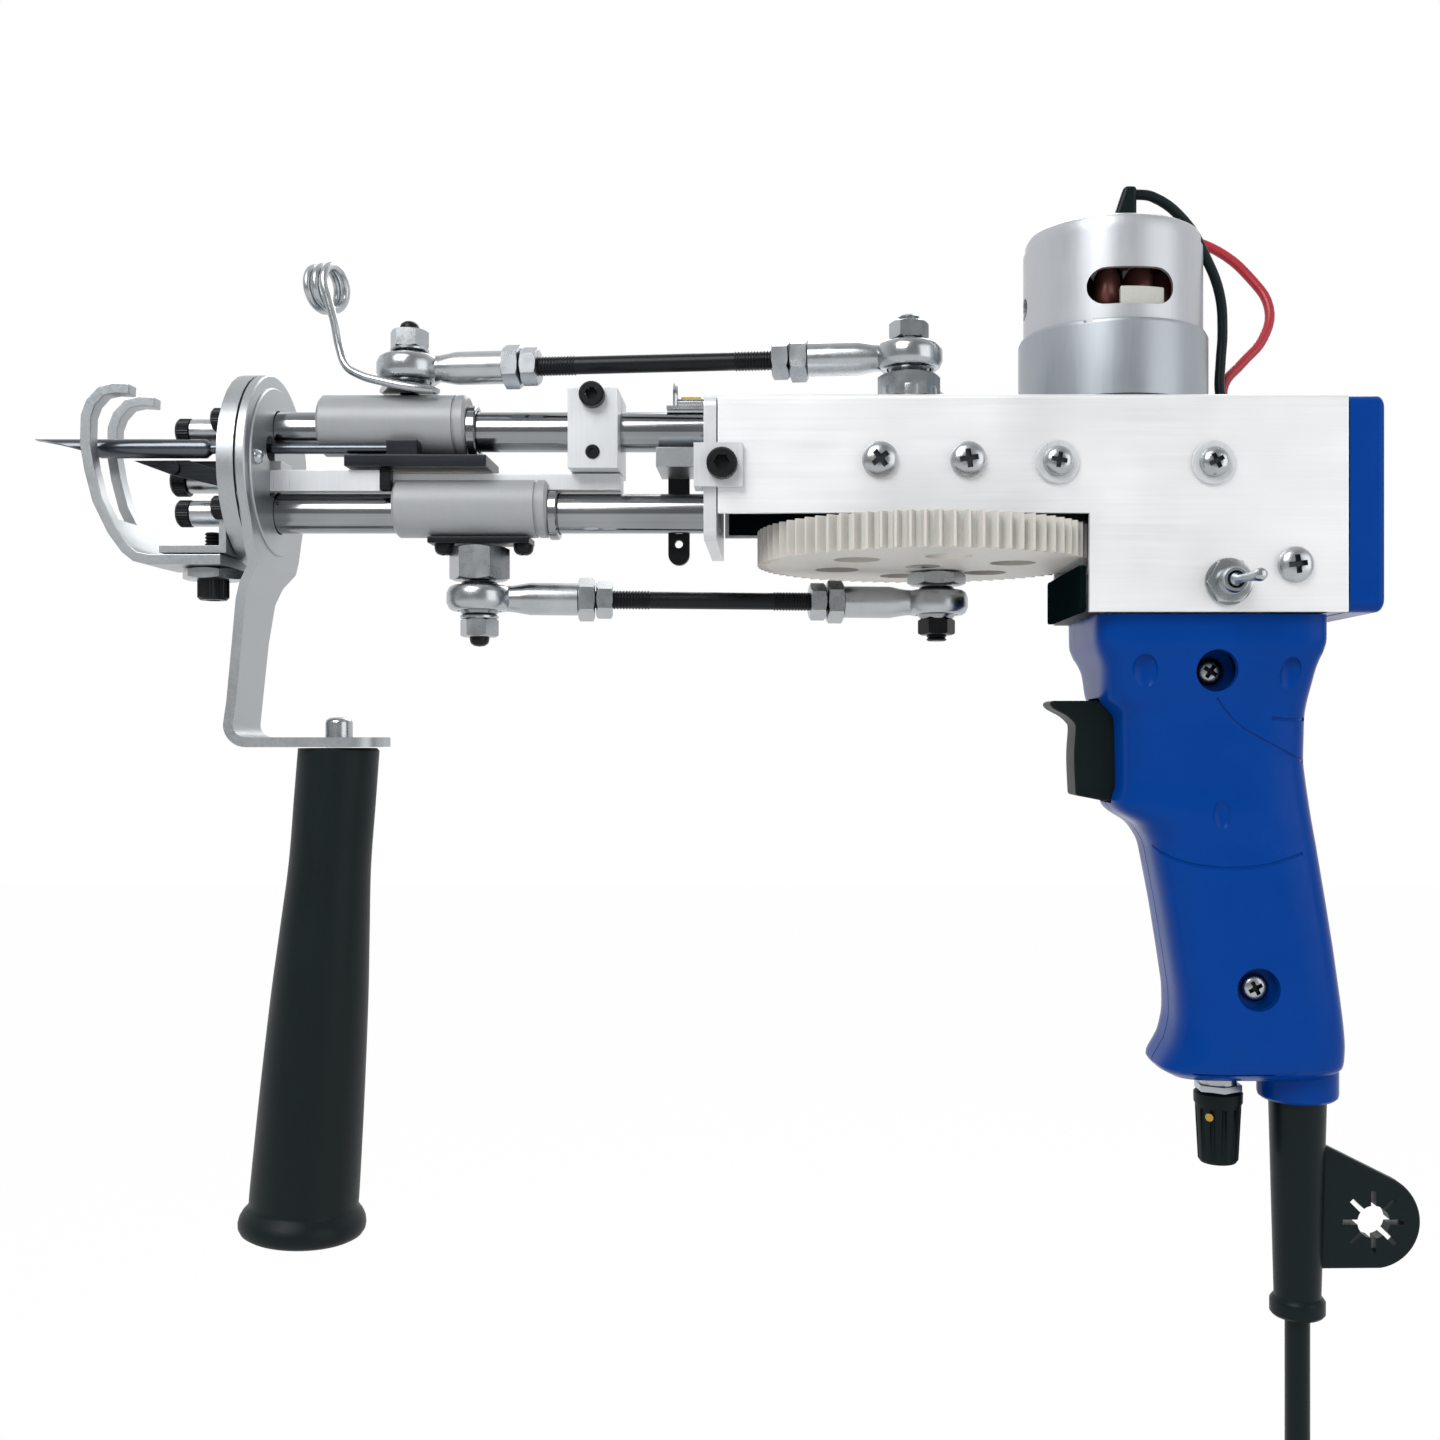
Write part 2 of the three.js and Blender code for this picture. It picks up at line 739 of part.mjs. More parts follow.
// Front handle: a moulded rubber grip with its stud and nut, leaning a little forward
function frontHandle() {
  const stops = [
    [0, 0], [handleTopDiameter / 2, 0], [handleTopDiameter / 2, -handleLength * handleWaistShare],
    [handleMidDiameter / 2, -handleLength / 2], [handleEndDiameter / 2, -handleLength + 2 * handleFlareHeight],
    [handleEndDiameter / 2, -handleLength + handleFlareHeight],
    [handleFlareDiameter / 2, -handleLength + handleFlareHeight / 2],
    [handleFlareDiameter / 2, -handleLength + handleFlareHeight / 4],
    [handleFlareDiameter / 2 - handleFlareHeight / 4, -handleLength], [0, -handleLength],
  ].reverse();
  const grip = turned(stops);
  grip.rotateY(THREE.MathUtils.degToRad(handleLean));
  const level = round('z', handleTopDiameter, -handleFlareHeight, handleFlareHeight, 0, 0);
  level.translate(0, 0, handleFlareHeight);
  const body = cut(grip, level);
  const low = -seat;
  body.translate(handleX, 0, -bracketDrop + low);
  const stud = round('z', handleStudDiameter / 2, -bracketDrop - handleFlareHeight,
    tabTop + seat + handleNutHeight + boltTipLength, handleX, 0, smallSides);
  const nut = hex('z', handleNutFlats, tabTop + seat, tabTop + seat + handleNutHeight, handleX, 0);
  add('front_handle', join(body, stud, nut), blackRubber);
}

// Presser foot: two prongs bent up and back from a flat base, on an angle bracket fixed to the disc
const footProfileShares = [
  [0.646, 0.995], [0.76, 1], [0.868, 0.979], [0.954, 0.907], [0.994, 0.823], [1, 0.663], [0.969, 0.518],
  [0.911, 0.346], [0.803, 0.174], [0.705, 0.069], [0.625, 0.019], [0.517, 0],
];
const footRear = discFront - footRootGap;
const footY = -needleSide;
function presserFoot() {
  const outer = footProfileShares.map(([reach, rise]) =>
    new THREE.Vector2(footRear - reach * footReach, footUnderside + rise * footRise));
  outer.push(new THREE.Vector2(footRear, footUnderside));
  const inner = outer.map((point, i) => {
    const before = outer[Math.max(i - 1, 0)];
    const after = outer[Math.min(i + 1, outer.length - 1)];
    const along = after.clone().sub(before).normalize();
    return new THREE.Vector2(point.x - along.y * footSheet, point.y + along.x * footSheet);
  });
  const strip = new THREE.Shape([...outer, ...inner.reverse()]);
  const bent = extrude('y', strip, footY - footWidth / 2, footY + footWidth / 2);
  const slot = box(discFront - 2 * footReach, footRear - footReach / 2, footY - footSlot / 2, footY + footSlot / 2,
    footUnderside + footSlotEnd, footUnderside + 2 * footRise);
  const hole = round('z', footBoltDiameter / 2 + seat, footUnderside - overrun, footUnderside + footSheet + overrun,
    footBoltX, footY, smallSides);
  add('presser_foot', cut(bent, slot, hole), zincSteel);
}
const footBoltX = discFront - footBoltFromDisc;
const footBracketLow = footUnderside + footSheet + seat;

function footBracket() {
  const rear = discFront - seat;
  const near = footY - footWidth / 2;
  const far = footY + footWidth / 2;
  const base = box(rear - footBracketReach, rear, near, far, footBracketLow, footBracketLow + footBracketSheet);
  const leg = box(rear - footBracketSheet, rear, near, far, footBracketLow, footBracketLow + footBracketRise);
  const hole = round('z', footBoltDiameter / 2 + seat, footBracketLow - overrun,
    footBracketLow + footBracketSheet + overrun, footBoltX, footY, smallSides);
  add('foot_bracket', cut(join(base, leg), hole), zincSteel);
}

function footBolt() {
  const nutTop = footUnderside - seat;
  const headTop = nutTop - footNutHeight;
  const shank = round('z', footBoltDiameter / 2, headTop - seat, footBracketLow + footBracketSheet + footBoltDiameter,
    footBoltX, footY, smallSides);
  const nut = hex('z', footNutFlats, headTop, nutTop, footBoltX, footY);
  const head = round('z', footHeadDiameter / 2, headTop - footHeadHeight, headTop, footBoltX, footY, smallSides);
  add('foot_bolt', join(shank, nut, head), blackSteel);
}

// Anti-rotation bar between the rods, with its end block, and the clamp block that holds its rear end
const clampRear = endPlateFront - clampToPlate;
const clampFront = clampRear - clampLength;
function antiRotationBar() {
  const start = -discRear + seat;
  const bar = box(start, clampRear, -barWidth / 2, barWidth / 2, barTop - barHeight, barTop);
  const block = box(start, start + barBlockLength, -barWidth / 2, barWidth / 2, barTop - barHeight,
    barTop + barBlockRise);
  add('anti_rotation_bar', join(bar, block), brushedAluminium);
}

function clampBlock() {
  const half = clampWidth / 2;
  const block = box(clampFront, clampRear, -half, half, barTop + seat, clampTop);
  const bore = round('x', rodRadius + clampBoreGap, clampFront - overrun, clampRear + overrun, 0, upperRodZ);
  const split = box(clampFront - overrun, clampRear + overrun, -clampSplit / 2, clampSplit / 2, upperRodZ,
    clampTop + overrun);
  const middle = (clampFront + clampRear) / 2;
  const screwZ = (upperRodZ + rodRadius + clampTop) / 2;
  const head = round('y', clampScrewHead / 2, -half - clampScrewRise, -half + clampScrewShank / 2, middle, screwZ,
    smallSides);
  const shank = round('y', clampScrewShank / 2, -half, half, middle, screwZ, smallSides);
  const body = join(cut(block, bore, split), head, shank);
  const socket = hex('y', clampScrewHead / 2, -half - clampScrewRise - overrun, -half - clampScrewRise / 3, middle,
    screwZ);
  add('clamp_block', cut(body, socket), brushedAluminium);
}

// Spacer block on the end plate, with the black strip that hangs from it beside the lower rod
function wireBracket() {
  const rear = endPlateFront - seat;
  const front = rear - spacerLength;
  const half = spacerWidth / 2;
  const block = box(front, rear, -half, half, 0, spacerHeight);
  const stripX = front + stripFromSpacer;
  const strip = new THREE.Shape();
  strip.moveTo(stripX, spacerHeight / 2);
  strip.lineTo(stripX, -stripDrop + stripWidth / 2);
  strip.absarc(stripX + stripWidth / 2, -stripDrop + stripWidth / 2, stripWidth / 2, Math.PI, Math.PI * 2);
  strip.lineTo(stripX + stripWidth, spacerHeight / 2);
  const plate = extrude('y', strip, half - stripThickness, half);
  const hole = round('y', stripThickness / 2, half - stripThickness - overrun, half + overrun,
    stripX + stripWidth / 2, -stripDrop + stripWidth, smallSides);
  add('wire_bracket', cut(join(block, plate), hole), blackSteel);
}

// Yarn eyelet: a bent wire loop on a small plate that lies on the upper rod
function rearEyelet() {
  const rear = endPlateFront - seat;
  const top = upperRodZ + rodRadius + seat;
  const half = eyeletPlateWidth / 2;
  const plate = box(rear - eyeletPlateLength, rear, -half, half, top, top + eyeletPlate);
  const middle = rear - eyeletFromPlate;
  const radius = eyeletWire / 2;
  const spread = half - radius;
  const bend = eyeletHeight - spread;
  const loop = wire([
    [middle, -spread, top + eyeletPlate / 2], [middle, -spread, top + bend / 2], [middle, -spread, top + bend],
    [middle, 0, top + eyeletHeight], [middle, spread, top + bend], [middle, spread, top + bend / 2],
    [middle, spread, top + eyeletPlate / 2],
  ], radius, wireSides, 14);
  const sleeve = round('x', eyeletPlateWidth / 4, middle + radius, rear, 0, top + eyeletPlate + eyeletPlateWidth / 5,
    smallSides);
  add('rear_eyelet', join(plate, loop, sleeve), zincSteel);
}

// Motor: can with slotted vents, flux ring, end bell with terminals, rotor, and the plate it is screwed to
const canBottom = canTop - canLength;
const mountTop = canBottom - seat;
const mountBottom = mountTop - mountPlateThickness;
function motorCan() {
  const shell = cut(
    round('z', canDiameter / 2, canBottom, canTop, motorToCrank, 0, fineSides),
    round('z', canDiameter / 2 - canWall, canBottom + 2 * canWall, canTop + overrun, motorToCrank, 0, fineSides),
  );
  const magnets = cut(
    round('z', canDiameter / 2 - canWall / 2, canBottom + canWall, fluxRingTop, motorToCrank, 0),
    round('z', canDiameter / 2 - canWall - magnetThickness, canBottom, fluxRingTop + overrun, motorToCrank, 0),
  );
  const nose = round('z', motorNoseDiameter / 2, canBottom - motorNoseHeight, canBottom + canWall, motorToCrank, 0);
  const bore = round('z', motorShaftDiameter / 2 + seat, canBottom - 2 * motorNoseHeight, canBottom + 4 * canWall,
    motorToCrank, 0, smallSides);
  const vents = [-1, 1].map((side) => ventWedge(side));
  add('motor_can', cut(join(shell, magnets, nose), bore, ...vents), paintedCan);
}
function ventWedge(side) {
  const spread = THREE.MathUtils.degToRad(ventAngle) / 2;
  const shape = new THREE.Shape();
  shape.moveTo(0, 0);
  shape.absarc(0, 0, canDiameter, -spread, spread);
  const wedge = extrude('z', shape, fluxRingTop + ventRise, fluxRingTop + ventRise + ventHeight);
  wedge.rotateZ((side * Math.PI) / 2);
  return wedge.translate(motorToCrank, 0, 0);
}

function fluxRing() {
  const bottom = housingTop + seat;
  add('flux_ring', cut(
    round('z', canDiameter / 2 + seat + fluxRingWall, bottom, fluxRingTop, motorToCrank, 0, fineSides),
    round('z', canDiameter / 2 + seat, bottom - overrun, fluxRingTop + overrun, motorToCrank, 0, fineSides),
  ), paintedCan);
}

const bellTop = canTop + bellHeight;
const bellRadius = canDiameter / 2 - bellInset;
function motorEndBell() {
  const inner = canDiameter / 2 - canWall - seat;
  const cap = turned([
    [0, -bellHeight], [inner, -bellHeight], [inner, seat], [bellRadius, seat],
    [bellRadius, bellHeight / 2], [bellRadius - bellHeight / 2, bellHeight], [0, bellHeight],
  ]);
  cap.translate(motorToCrank, 0, canTop);
  const boss = round('z', bellBossDiameter / 2, bellTop - canWall, bellTop + bellBossHeight, motorToCrank, 0);
  const pocket = round('z', motorShaftDiameter / 2 + seat, canTop - 2 * bellHeight, bellTop + bellBossHeight / 2,
    motorToCrank, 0, smallSides);
  const boots = [-1, 1].map((side) => {
    const boot = box(-terminalWidth / 2, terminalWidth / 2, -terminalThickness / 2, terminalThickness / 2,
      -canWall, terminalHeight + bellHeight);
    return boot.translate(motorToCrank, side * (bellBossDiameter / 2 + terminalThickness), bellTop);
  });
  add('motor_end_bell', cut(join(cap, boss, ...boots), pocket), paintedCan);
}

function motorMountPlate() {
  const half = housingWidth / 2 - housingWall - seat;
  const front = motorToCrank - (gearRadius + gearModule - crankToStep) / 2;
  const plate = box(front - mountPlateThickness, front + mountPlateLength, -half, half, mountBottom, mountTop);
  const bore = round('z', motorNoseDiameter / 2 + seat, mountBottom - overrun, mountTop + overrun, motorToCrank, 0);
  add('motor_mount_plate', cut(plate, bore), zincSteel);
}

function armature() {
  const core = round('z', rotorDiameter / 2, -rotorLength / 2, rotorLength / 2);
  const slots = [];
  for (let i = 0; i < rotorSlots; i += 1) {
    const slot = box(rotorDiameter / 4, rotorDiameter, -canWall / 2, canWall / 2, -rotorLength, rotorLength);
    slots.push(slot.rotateZ((i / rotorSlots) * Math.PI * 2));
  }
  const laminations = cut(core, ...slots);
  laminations.translate(motorToCrank, 0, canBottom + canLength / 2);
  const shaft = round('z', motorShaftDiameter / 2, gearBottom - canWall, bellTop, motorToCrank, 0, smallSides);
  add('motor_armature', join(laminations, shaft), copperRotor);
}

// Involute gears: a tooth's half angle at a radius follows from the base circle
const involute = (angle) => Math.tan(angle) - angle;
function gearShape(teeth) {
  const pitch = (gearModule * teeth) / 2;
  const pressure = THREE.MathUtils.degToRad(pressureAngle);
  const base = pitch * Math.cos(pressure);
  const tip = pitch + addendumShare * gearModule;
  const root = pitch - dedendumShare * gearModule;
  const half = Math.PI / (2 * teeth) - backlash / (2 * pitch);
  const halfAngle = (radius) => {
    const at = Math.max(radius, base);
    return half + involute(pressure) - involute(Math.acos(base / at));
  };
  const flank = [root, tip];
  const points = [];
  for (let i = 0; i < teeth; i += 1) {
    const centre = ((i + 0.5) / teeth) * Math.PI * 2;
    const lower = flank.map((radius) => [radius, centre - halfAngle(radius)]);
    const upper = flank.map((radius) => [radius, centre + halfAngle(radius)]).reverse();
    [...lower, ...upper].forEach(([radius, angle]) =>
      points.push([radius * Math.cos(angle), radius * Math.sin(angle)]));
  }
  return outline(points);
}

function driveGear() {
  const disc = extrude('z', gearShape(gearTeeth), gearBottom, gearTop);
  const webInner = gearHubDiameter / 2;
  const webOuter = gearRadius - gearRimWidth;
  const webTop = gearTop - (gearThickness - gearWebThickness) / 2;
  const recess = cut(
    round('z', webOuter, webTop, gearTop + overrun),
    round('z', webInner, webTop - overrun, gearTop + 2 * overrun),
  );
  const holes = [];
  const holeRing = (webInner + webOuter) / 2;
  for (let i = 0; i < gearSpokeHoles; i += 1) {
    const angle = pinAngle + ((i + 0.5) / gearSpokeHoles) * Math.PI * 2;
    holes.push(round('z', gearHoleDiameter / 2, gearBottom - overrun, gearTop + overrun,
      holeRing * Math.cos(angle), holeRing * Math.sin(angle), smallSides));
  }
  const bore = round('z', crankShaftDiameter / 2 + seat, gearBottom - overrun, gearTop + overrun);
  add('drive_gear', cut(disc, recess, ...holes, bore), whiteNylon);
}

function pinion() {
  const shape = gearShape(pinionTeeth);
  const top = gearTop;
  const body = extrude('z', shape, top - pinionLength, top);
  body.rotateZ(Math.PI - Math.PI / pinionTeeth);
  body.translate(motorToCrank, 0, 0);
  const bore = round('z', motorShaftDiameter / 2 + seat, top - pinionLength - overrun, top + overrun, motorToCrank, 0,
    smallSides);
  add('motor_pinion', cut(body, bore), zincSteel);
}

// Crank: bearing block, shaft, arm above the housing and the pin below the gear
function crankBearings() {
  const top = housingTop - housingWall - seat;
  const bottom = top - blockDepth;
  const half = housingWidth / 2 - housingWall - seat;
  const seatRadius = bearingDiameter / 2 + seat;
  const block = cut(
    box(-blockLength / 2, blockLength / 2, -half, half, bottom, top),
    round('z', seatRadius - bearingShoulder - seat, bottom - overrun, top + overrun),
    round('z', seatRadius, bottom - overrun, bottom + bearingWidth + seat),
    round('z', seatRadius, top - bearingWidth - seat, top + overrun),
  );
  add('bearing_block', block, blackPlastic);
  const bearing = (from) => cut(
    round('z', bearingDiameter / 2, from, from + bearingWidth),
    round('z', crankShaftDiameter / 2 + seat, from - overrun, from + bearingWidth + overrun),
  );
  add('upper_bearing', bearing(top - bearingWidth), polishedSteel);
  add('lower_bearing', bearing(bottom), polishedSteel);
}

const armBottom = housingTop + upperArmGap;
const armTop = armBottom + upperArmThickness;
function crankShaft() {
  const blockBottom = housingTop - housingWall - seat - blockDepth;
  const shaft = round('z', crankShaftDiameter / 2, gearBottom, armTop - seat);
  const collar = round('z', shaftCollarDiameter / 2, gearTop + seat, blockBottom - seat);
  add('crank_shaft', join(shaft, collar), zincSteel);
}

// Upper crank arm with the hex spacer that carries the needle's connecting rod
function upperCrankArm() {
  const half = crankArmWidth / 2;
  const arm = new THREE.Shape();
  arm.absarc(0, 0, half, Math.PI / 2, Math.PI * 1.5);
  arm.absarc(crankRadius, 0, half, -Math.PI / 2, Math.PI / 2);
  const plate = extrude('z', arm, armBottom, armTop);
  plate.rotateZ(pinAngle);
  const spacerTop = upperConrodHeight - eyeBallHeight / 2 - seat;
  const spacer = hex('z', spacerNutFlats, armBottom, spacerTop, upperPin.x, upperPin.y);
  const bore = round('z', crankShaftDiameter / 2 + seat, armBottom - overrun, armTop - seat);
  add('upper_crank_arm', cut(join(plate, spacer), bore), zincSteel);
}

function lowerCrankPin() {
  const bottom = lowerConrodHeight + eyeBallHeight / 2 + seat;
  add('lower_crank_pin', hex('z', spacerNutFlats, bottom, gearBottom - seat, lowerPin.x, lowerPin.y), zincSteel);
}

// Rod end: a ball eye whose shank points along +X, at the origin, bored unless its bolt is part of it
function rodEnd(bored) {
  const outer = turned([
    [0, -eyeWidth / 2], [eyeDiameter / 2 - eyeWidth / 5, -eyeWidth / 2], [eyeDiameter / 2, -eyeWidth / 5],
    [eyeDiameter / 2, eyeWidth / 5], [eyeDiameter / 2 - eyeWidth / 5, eyeWidth / 2], [0, eyeWidth / 2],
  ]);
  const ball = round('z', eyeBallFace / 2, -eyeBallHeight / 2, eyeBallHeight / 2, 0, 0, smallSides);
  const neckEnd = (eyeDiameter + shankDiameter) / 2;
  const neck = taper('x', shankDiameter / 2 - eyeWidth / 8, shankDiameter / 2, eyeDiameter / 3, neckEnd, 0, 0,
    smallSides);
  const shank = round('x', shankDiameter / 2, neckEnd, eyeToCollar, 0, 0, smallSides);
  const collar = hex('x', collarFlats, eyeToCollar, eyeToCollar + collarLength);
  const bore = round('z', eyeBore / 2, -eyeBallHeight, eyeBallHeight, 0, 0, smallSides);
  const socket = round('x', conrodDiameter / 2 + seat, eyeToCollar - collarLength, eyeToCollar + collarLength + overrun,
    0, 0, smallSides);
  const body = join(outer, ball, neck, shank, collar);
  return bored ? cut(body, bore, socket) : cut(body, socket);
}

// A connecting rod between two points: both rod ends, the threaded rod with its lock nuts, and the crank bolt
function connectingRod(name, frontPin, rearPin, height, boltSide) {
  const along = new THREE.Vector2(rearPin.x - frontPin.x, rearPin.y - frontPin.y);
  const length = along.length();
  const place = (geometry, turn = 0) => {
    geometry.rotateZ(along.angle() + turn);
    return geometry;
  };
  const front = place(rodEnd(true));
  add(`${name}_front_eye`, front.translate(frontPin.x, frontPin.y, height), zincSteel);
  const rear = place(rodEnd(false), Math.PI);
  rear.translate(rearPin.x, rearPin.y, height);
  const eyeTop = eyeBallHeight / 2;
  const headHeight = eyeTop + eyeNutHeight;
  const bolt = join(
    round('z', eyeBoltDiameter / 2, 0, headHeight + boltTipLength, 0, 0, smallSides),
    hex('z', eyeNutFlats, eyeTop - seat, headHeight),
  );
  if (boltSide < 0) bolt.rotateX(Math.PI);
  bolt.translate(rearPin.x, rearPin.y, height);
  add(`${name}_rear_eye`, join(rear, bolt), zincSteel);
  const start = eyeToCollar + seat - collarLength + overrun;
  const nutFrom = eyeToCollar + collarLength + seat;
  const rod = join(
    round('x', conrodDiameter / 2, start, length - start, 0, 0, smallSides),
    hex('x', lockNutFlats, nutFrom, nutFrom + lockNutLength),
    hex('x', lockNutFlats, length - nutFrom - lockNutLength, length - nutFrom),
  );
  add(`${name}_rod`, place(rod).translate(frontPin.x, frontPin.y, height), blackSteel);
}

// Sleeve: a plastic bush bored off centre for its rod, with a metal-lined rear mouth
function sleeve(front, length, rodZ) {
  const rear = front + length;
  const centre = rodZ + sleeveOffset;
  const body = join(
    round('x', sleeveDiameter / 2, front, rear - endRingLength, 0, centre),
    round('x', endRingDiameter / 2, rear - endRingLength - overrun, rear, 0, rodZ + sleeveOffset / 2),
  );
  const bore = round('x', rodRadius + sleeveBoreGap, front - overrun, rear + overrun, 0, rodZ);
  return cut(body, bore);
}

function upperSlide() {
  const front = -upperSleeveFront;
  add('upper_slider_sleeve', sleeve(front, upperSleeveLength, upperRodZ), greyPom);
  const under = upperRodZ + sleeveOffset - sleeveDiameter / 2 - seat;
  const plateFront = -carrierFront;
  const plateRear = plateFront + carrierLength;
  const bottom = under - carrierThickness;
  const lugOuter = -needleSide - needleBarDiameter / 2 - seat - lugWall;
  const plate = box(plateFront, plateRear, -needleSide, carrierWidth / 2, bottom, under);
  const lug = box(plateFront, plateRear, lugOuter, -needleSide + needleBarDiameter, bottom, lugTop);
  const clearance = round('x', sleeveDiameter / 2 + seat, plateFront - overrun, plateRear + overrun, 0,
    upperRodZ + sleeveOffset);
  const bore = round('x', needleBarDiameter / 2 + seat, plateFront - overrun, plateFront + carrierLength / 2,
    -needleSide, needleHeight, smallSides);
  add('needle_carrier', cut(join(plate, lug), clearance, bore), blackSteel);
  needle(plateFront + carrierLength / 2 - seat);
  sliderPin('upper_slider_pin', -upperPinToCrank, upperRodZ + sleeveOffset + sleeveDiameter / 2 + seat,
    upperConrodHeight, 1);
}

// Hollow needle: cut to a long slanting point, on a thinner bar that reaches back to the carrier
function needle(barEnd) {
  const tube = cut(
    round('x', needleDiameter / 2, -needleTip, -needleEnd, -needleSide, needleHeight, smallSides),
    round('x', needleBore / 2, -needleTip - overrun, -needleEnd - needleDiameter, -needleSide, needleHeight,
      smallSides),
  );
  const half = needleDiameter / 2 + seat;
  const low = needleHeight - half - overrun;
  const slant = extrude('y', outline([
    [-needleTip - overrun, low], [-needleTip + needleCut, low],
    [-needleTip + needleHeel, needleHeight], [-needleTip, needleHeight + needleLip],
    [-needleTip - overrun, needleHeight + needleLip],
  ]), -needleSide - half, -needleSide + half);
  const bar = round('x', needleBarDiameter / 2, -needleEnd - overrun, barEnd, -needleSide, needleHeight, smallSides);
  add('needle', join(cut(tube, slant), bar), polishedSteel);
}

// The bolt and spacer on a slide that the connecting rod's front eye swings on
function sliderPin(name, x, base, eyeHeight, side) {
  const ballFace = eyeHeight - (side * eyeBallHeight) / 2;
  const outerFace = eyeHeight + (side * eyeBallHeight) / 2;
  const span = (radius, from, to, sides) =>
    round('z', radius, Math.min(from, to), Math.max(from, to), x, 0, sides);
  const spacer = span(spacerNutFlats / Math.sqrt(3), base, ballFace - side * seat, hexSides);
  const shank = span(eyeBoltDiameter / 2, base, outerFace + side * (seat + eyeNutHeight + boltTipLength), smallSides);
  const nut = span(eyeNutFlats / Math.sqrt(3), outerFace + side * seat, outerFace + side * (seat + eyeNutHeight),
    hexSides);
  add(name, join(spacer, shank, nut), zincSteel);
}

// Yarn eye: a wire that rises from the needle's slide to a coil of open turns round the yarn's way
function yarnEye() {
  const pinX = -upperPinToCrank;
  const radius = yarnWire / 2;
  const foot = upperRodZ + sleeveOffset + sleeveDiameter / 2 + seat + radius;
  const startX = pinX - spacerNutFlats / Math.sqrt(3) - seat;
  const coilX = pinX - yarnCoilFromPin - yarnCoilPitch;
  const stem = new THREE.CatmullRomCurve3([
    new THREE.Vector3(startX, 0, foot),
    new THREE.Vector3(startX - 2 * yarnWire, 0, foot),
    new THREE.Vector3(startX - 5 * yarnWire, 0, foot + yarnWire / 2),
    new THREE.Vector3(coilX + yarnCoilPitch, 0, foot + 5 * yarnWire),
    new THREE.Vector3(coilX, 0, yarnCoilHeight - yarnCoilRadius - 2 * yarnWire),
  ], false, 'centripetal');
  const points = stem.getSpacedPoints(14);
  const steps = yarnCoilTurns * yarnStepsPerTurn;
  for (let i = 1; i <= steps; i += 1) {
    const turn = (i / yarnStepsPerTurn) * Math.PI * 2;
    points.push(new THREE.Vector3(
      coilX - (i / yarnStepsPerTurn) * yarnCoilPitch,
      yarnCoilRadius * Math.sin(turn),
      yarnCoilHeight - yarnCoilRadius * Math.cos(turn),
    ));
  }
  console.log('yarn eye', leastGap(points, yarnWire));
  add('yarn_eye', sweep(points, radius, wireSides - 1), zincSteel);
}

function lowerSlide() {
  const front = -lowerSleeveFront;
  const rear = front + lowerSleeveLength;
  const slot = box(front - overrun, rear + overrun, -barWidth / 2 - seat, barWidth / 2 + seat,
    barTop - barHeight - seat, barTop + sleeveDiameter);
  add('lower_slider_sleeve', cut(sleeve(front, lowerSleeveLength, lowerRodZ), slot), greyPom);
  const under = lowerRodZ + sleeveOffset - sleeveDiameter / 2 - seat;
  const bottom = under - lowerCarrierThickness;
  const half = lowerCarrierWidth / 2;
  const pinX = -lowerPinToCrank;
  const plate = box(front - scissorPlateThickness - seat, pinX + lowerCarrierLength / 2, -half, half, bottom, under);
  const face = front - seat;
  const tabSide = -bladeSide - scissorTab / 2;
  const upright = cut(
    box(face - scissorPlateThickness, face, tabSide, half, bottom, scissorTop),
    box(face - 2 * scissorPlateThickness, face + overrun, -barWidth / 2 - seat, half + overrun,
      barTop - barHeight - seat, scissorTop + overrun),
    round('x', rodRadius + sleeveBoreGap, face - 2 * scissorPlateThickness, face + overrun, 0, lowerRodZ),
  );
  add('scissor_carrier', join(plate, upright), blackSteel);
  sliderPin('lower_slider_pin', pinX, bottom - seat, lowerConrodHeight, -1);
}

// Scissors: a fixed blade on the slide's carrier and a short moving blade on a rivet
const bladeRear = -lowerSleeveFront - seat - scissorPlateThickness - seat;
const bladeBend = bladeStrip - bladeRear;
const movingX = -bladeBend - bladeRise;
const bladePivot = bladeHeel - movingX;
const bladeTip = bladePivot + bladeNose;
const blade = (points, side) => extrude('y', outline(points), side - bladeThickness / 2, side + bladeThickness / 2);
function scissors() {
  const fixedY = -bladeSide + (bladeThickness + seat) / 2;
  const movingY = -bladeSide - (bladeThickness + seat) / 2;
  const eye = bladeWidth / 2;
  const fixed = blade([
    [-bladeTip, bladeTipHeight], [-bladePivot, bladePivotHeight - eye],
    [movingX, bladePivotHeight - eye], [-bladeBend, bladeRearTop - bladeRearWidth],
    [bladeRear, bladeRearTop - bladeRearWidth], [bladeRear, bladeRearTop],
    [-bladeBend, bladeRearTop], [movingX, bladePivotHeight + eye], [-bladePivot, bladePivotHeight + eye],
  ], fixedY);
  const pin = round('y', rivetDiameter / 2, movingY - bladeThickness - seat, fixedY, -bladePivot, bladePivotHeight,
    smallSides);
  const head = round('y', rivetHeadDiameter / 2, movingY - bladeThickness - seat, movingY - bladeThickness / 2 - seat,
    -bladePivot, bladePivotHeight, smallSides);
  add('fixed_blade', join(fixed, pin, head), polishedSteel);
  const moving = blade([
    [-bladeTip, bladeTipHeight], [-bladePivot, bladePivotHeight - eye],
    [movingX, bladePivotHeight - movingBladeLow - eye], [movingX, bladePivotHeight - movingBladeLow + eye],
    [-bladePivot + bladeWidth, bladePivotHeight + eye], [-bladePivot - eye, bladePivotHeight + eye],
  ], movingY);
  const hole = round('y', rivetDiameter / 2 + seat, movingY - bladeThickness, movingY + bladeThickness, -bladePivot,
    bladePivotHeight, smallSides);
  add('moving_blade', cut(moving, hole), polishedSteel);
}

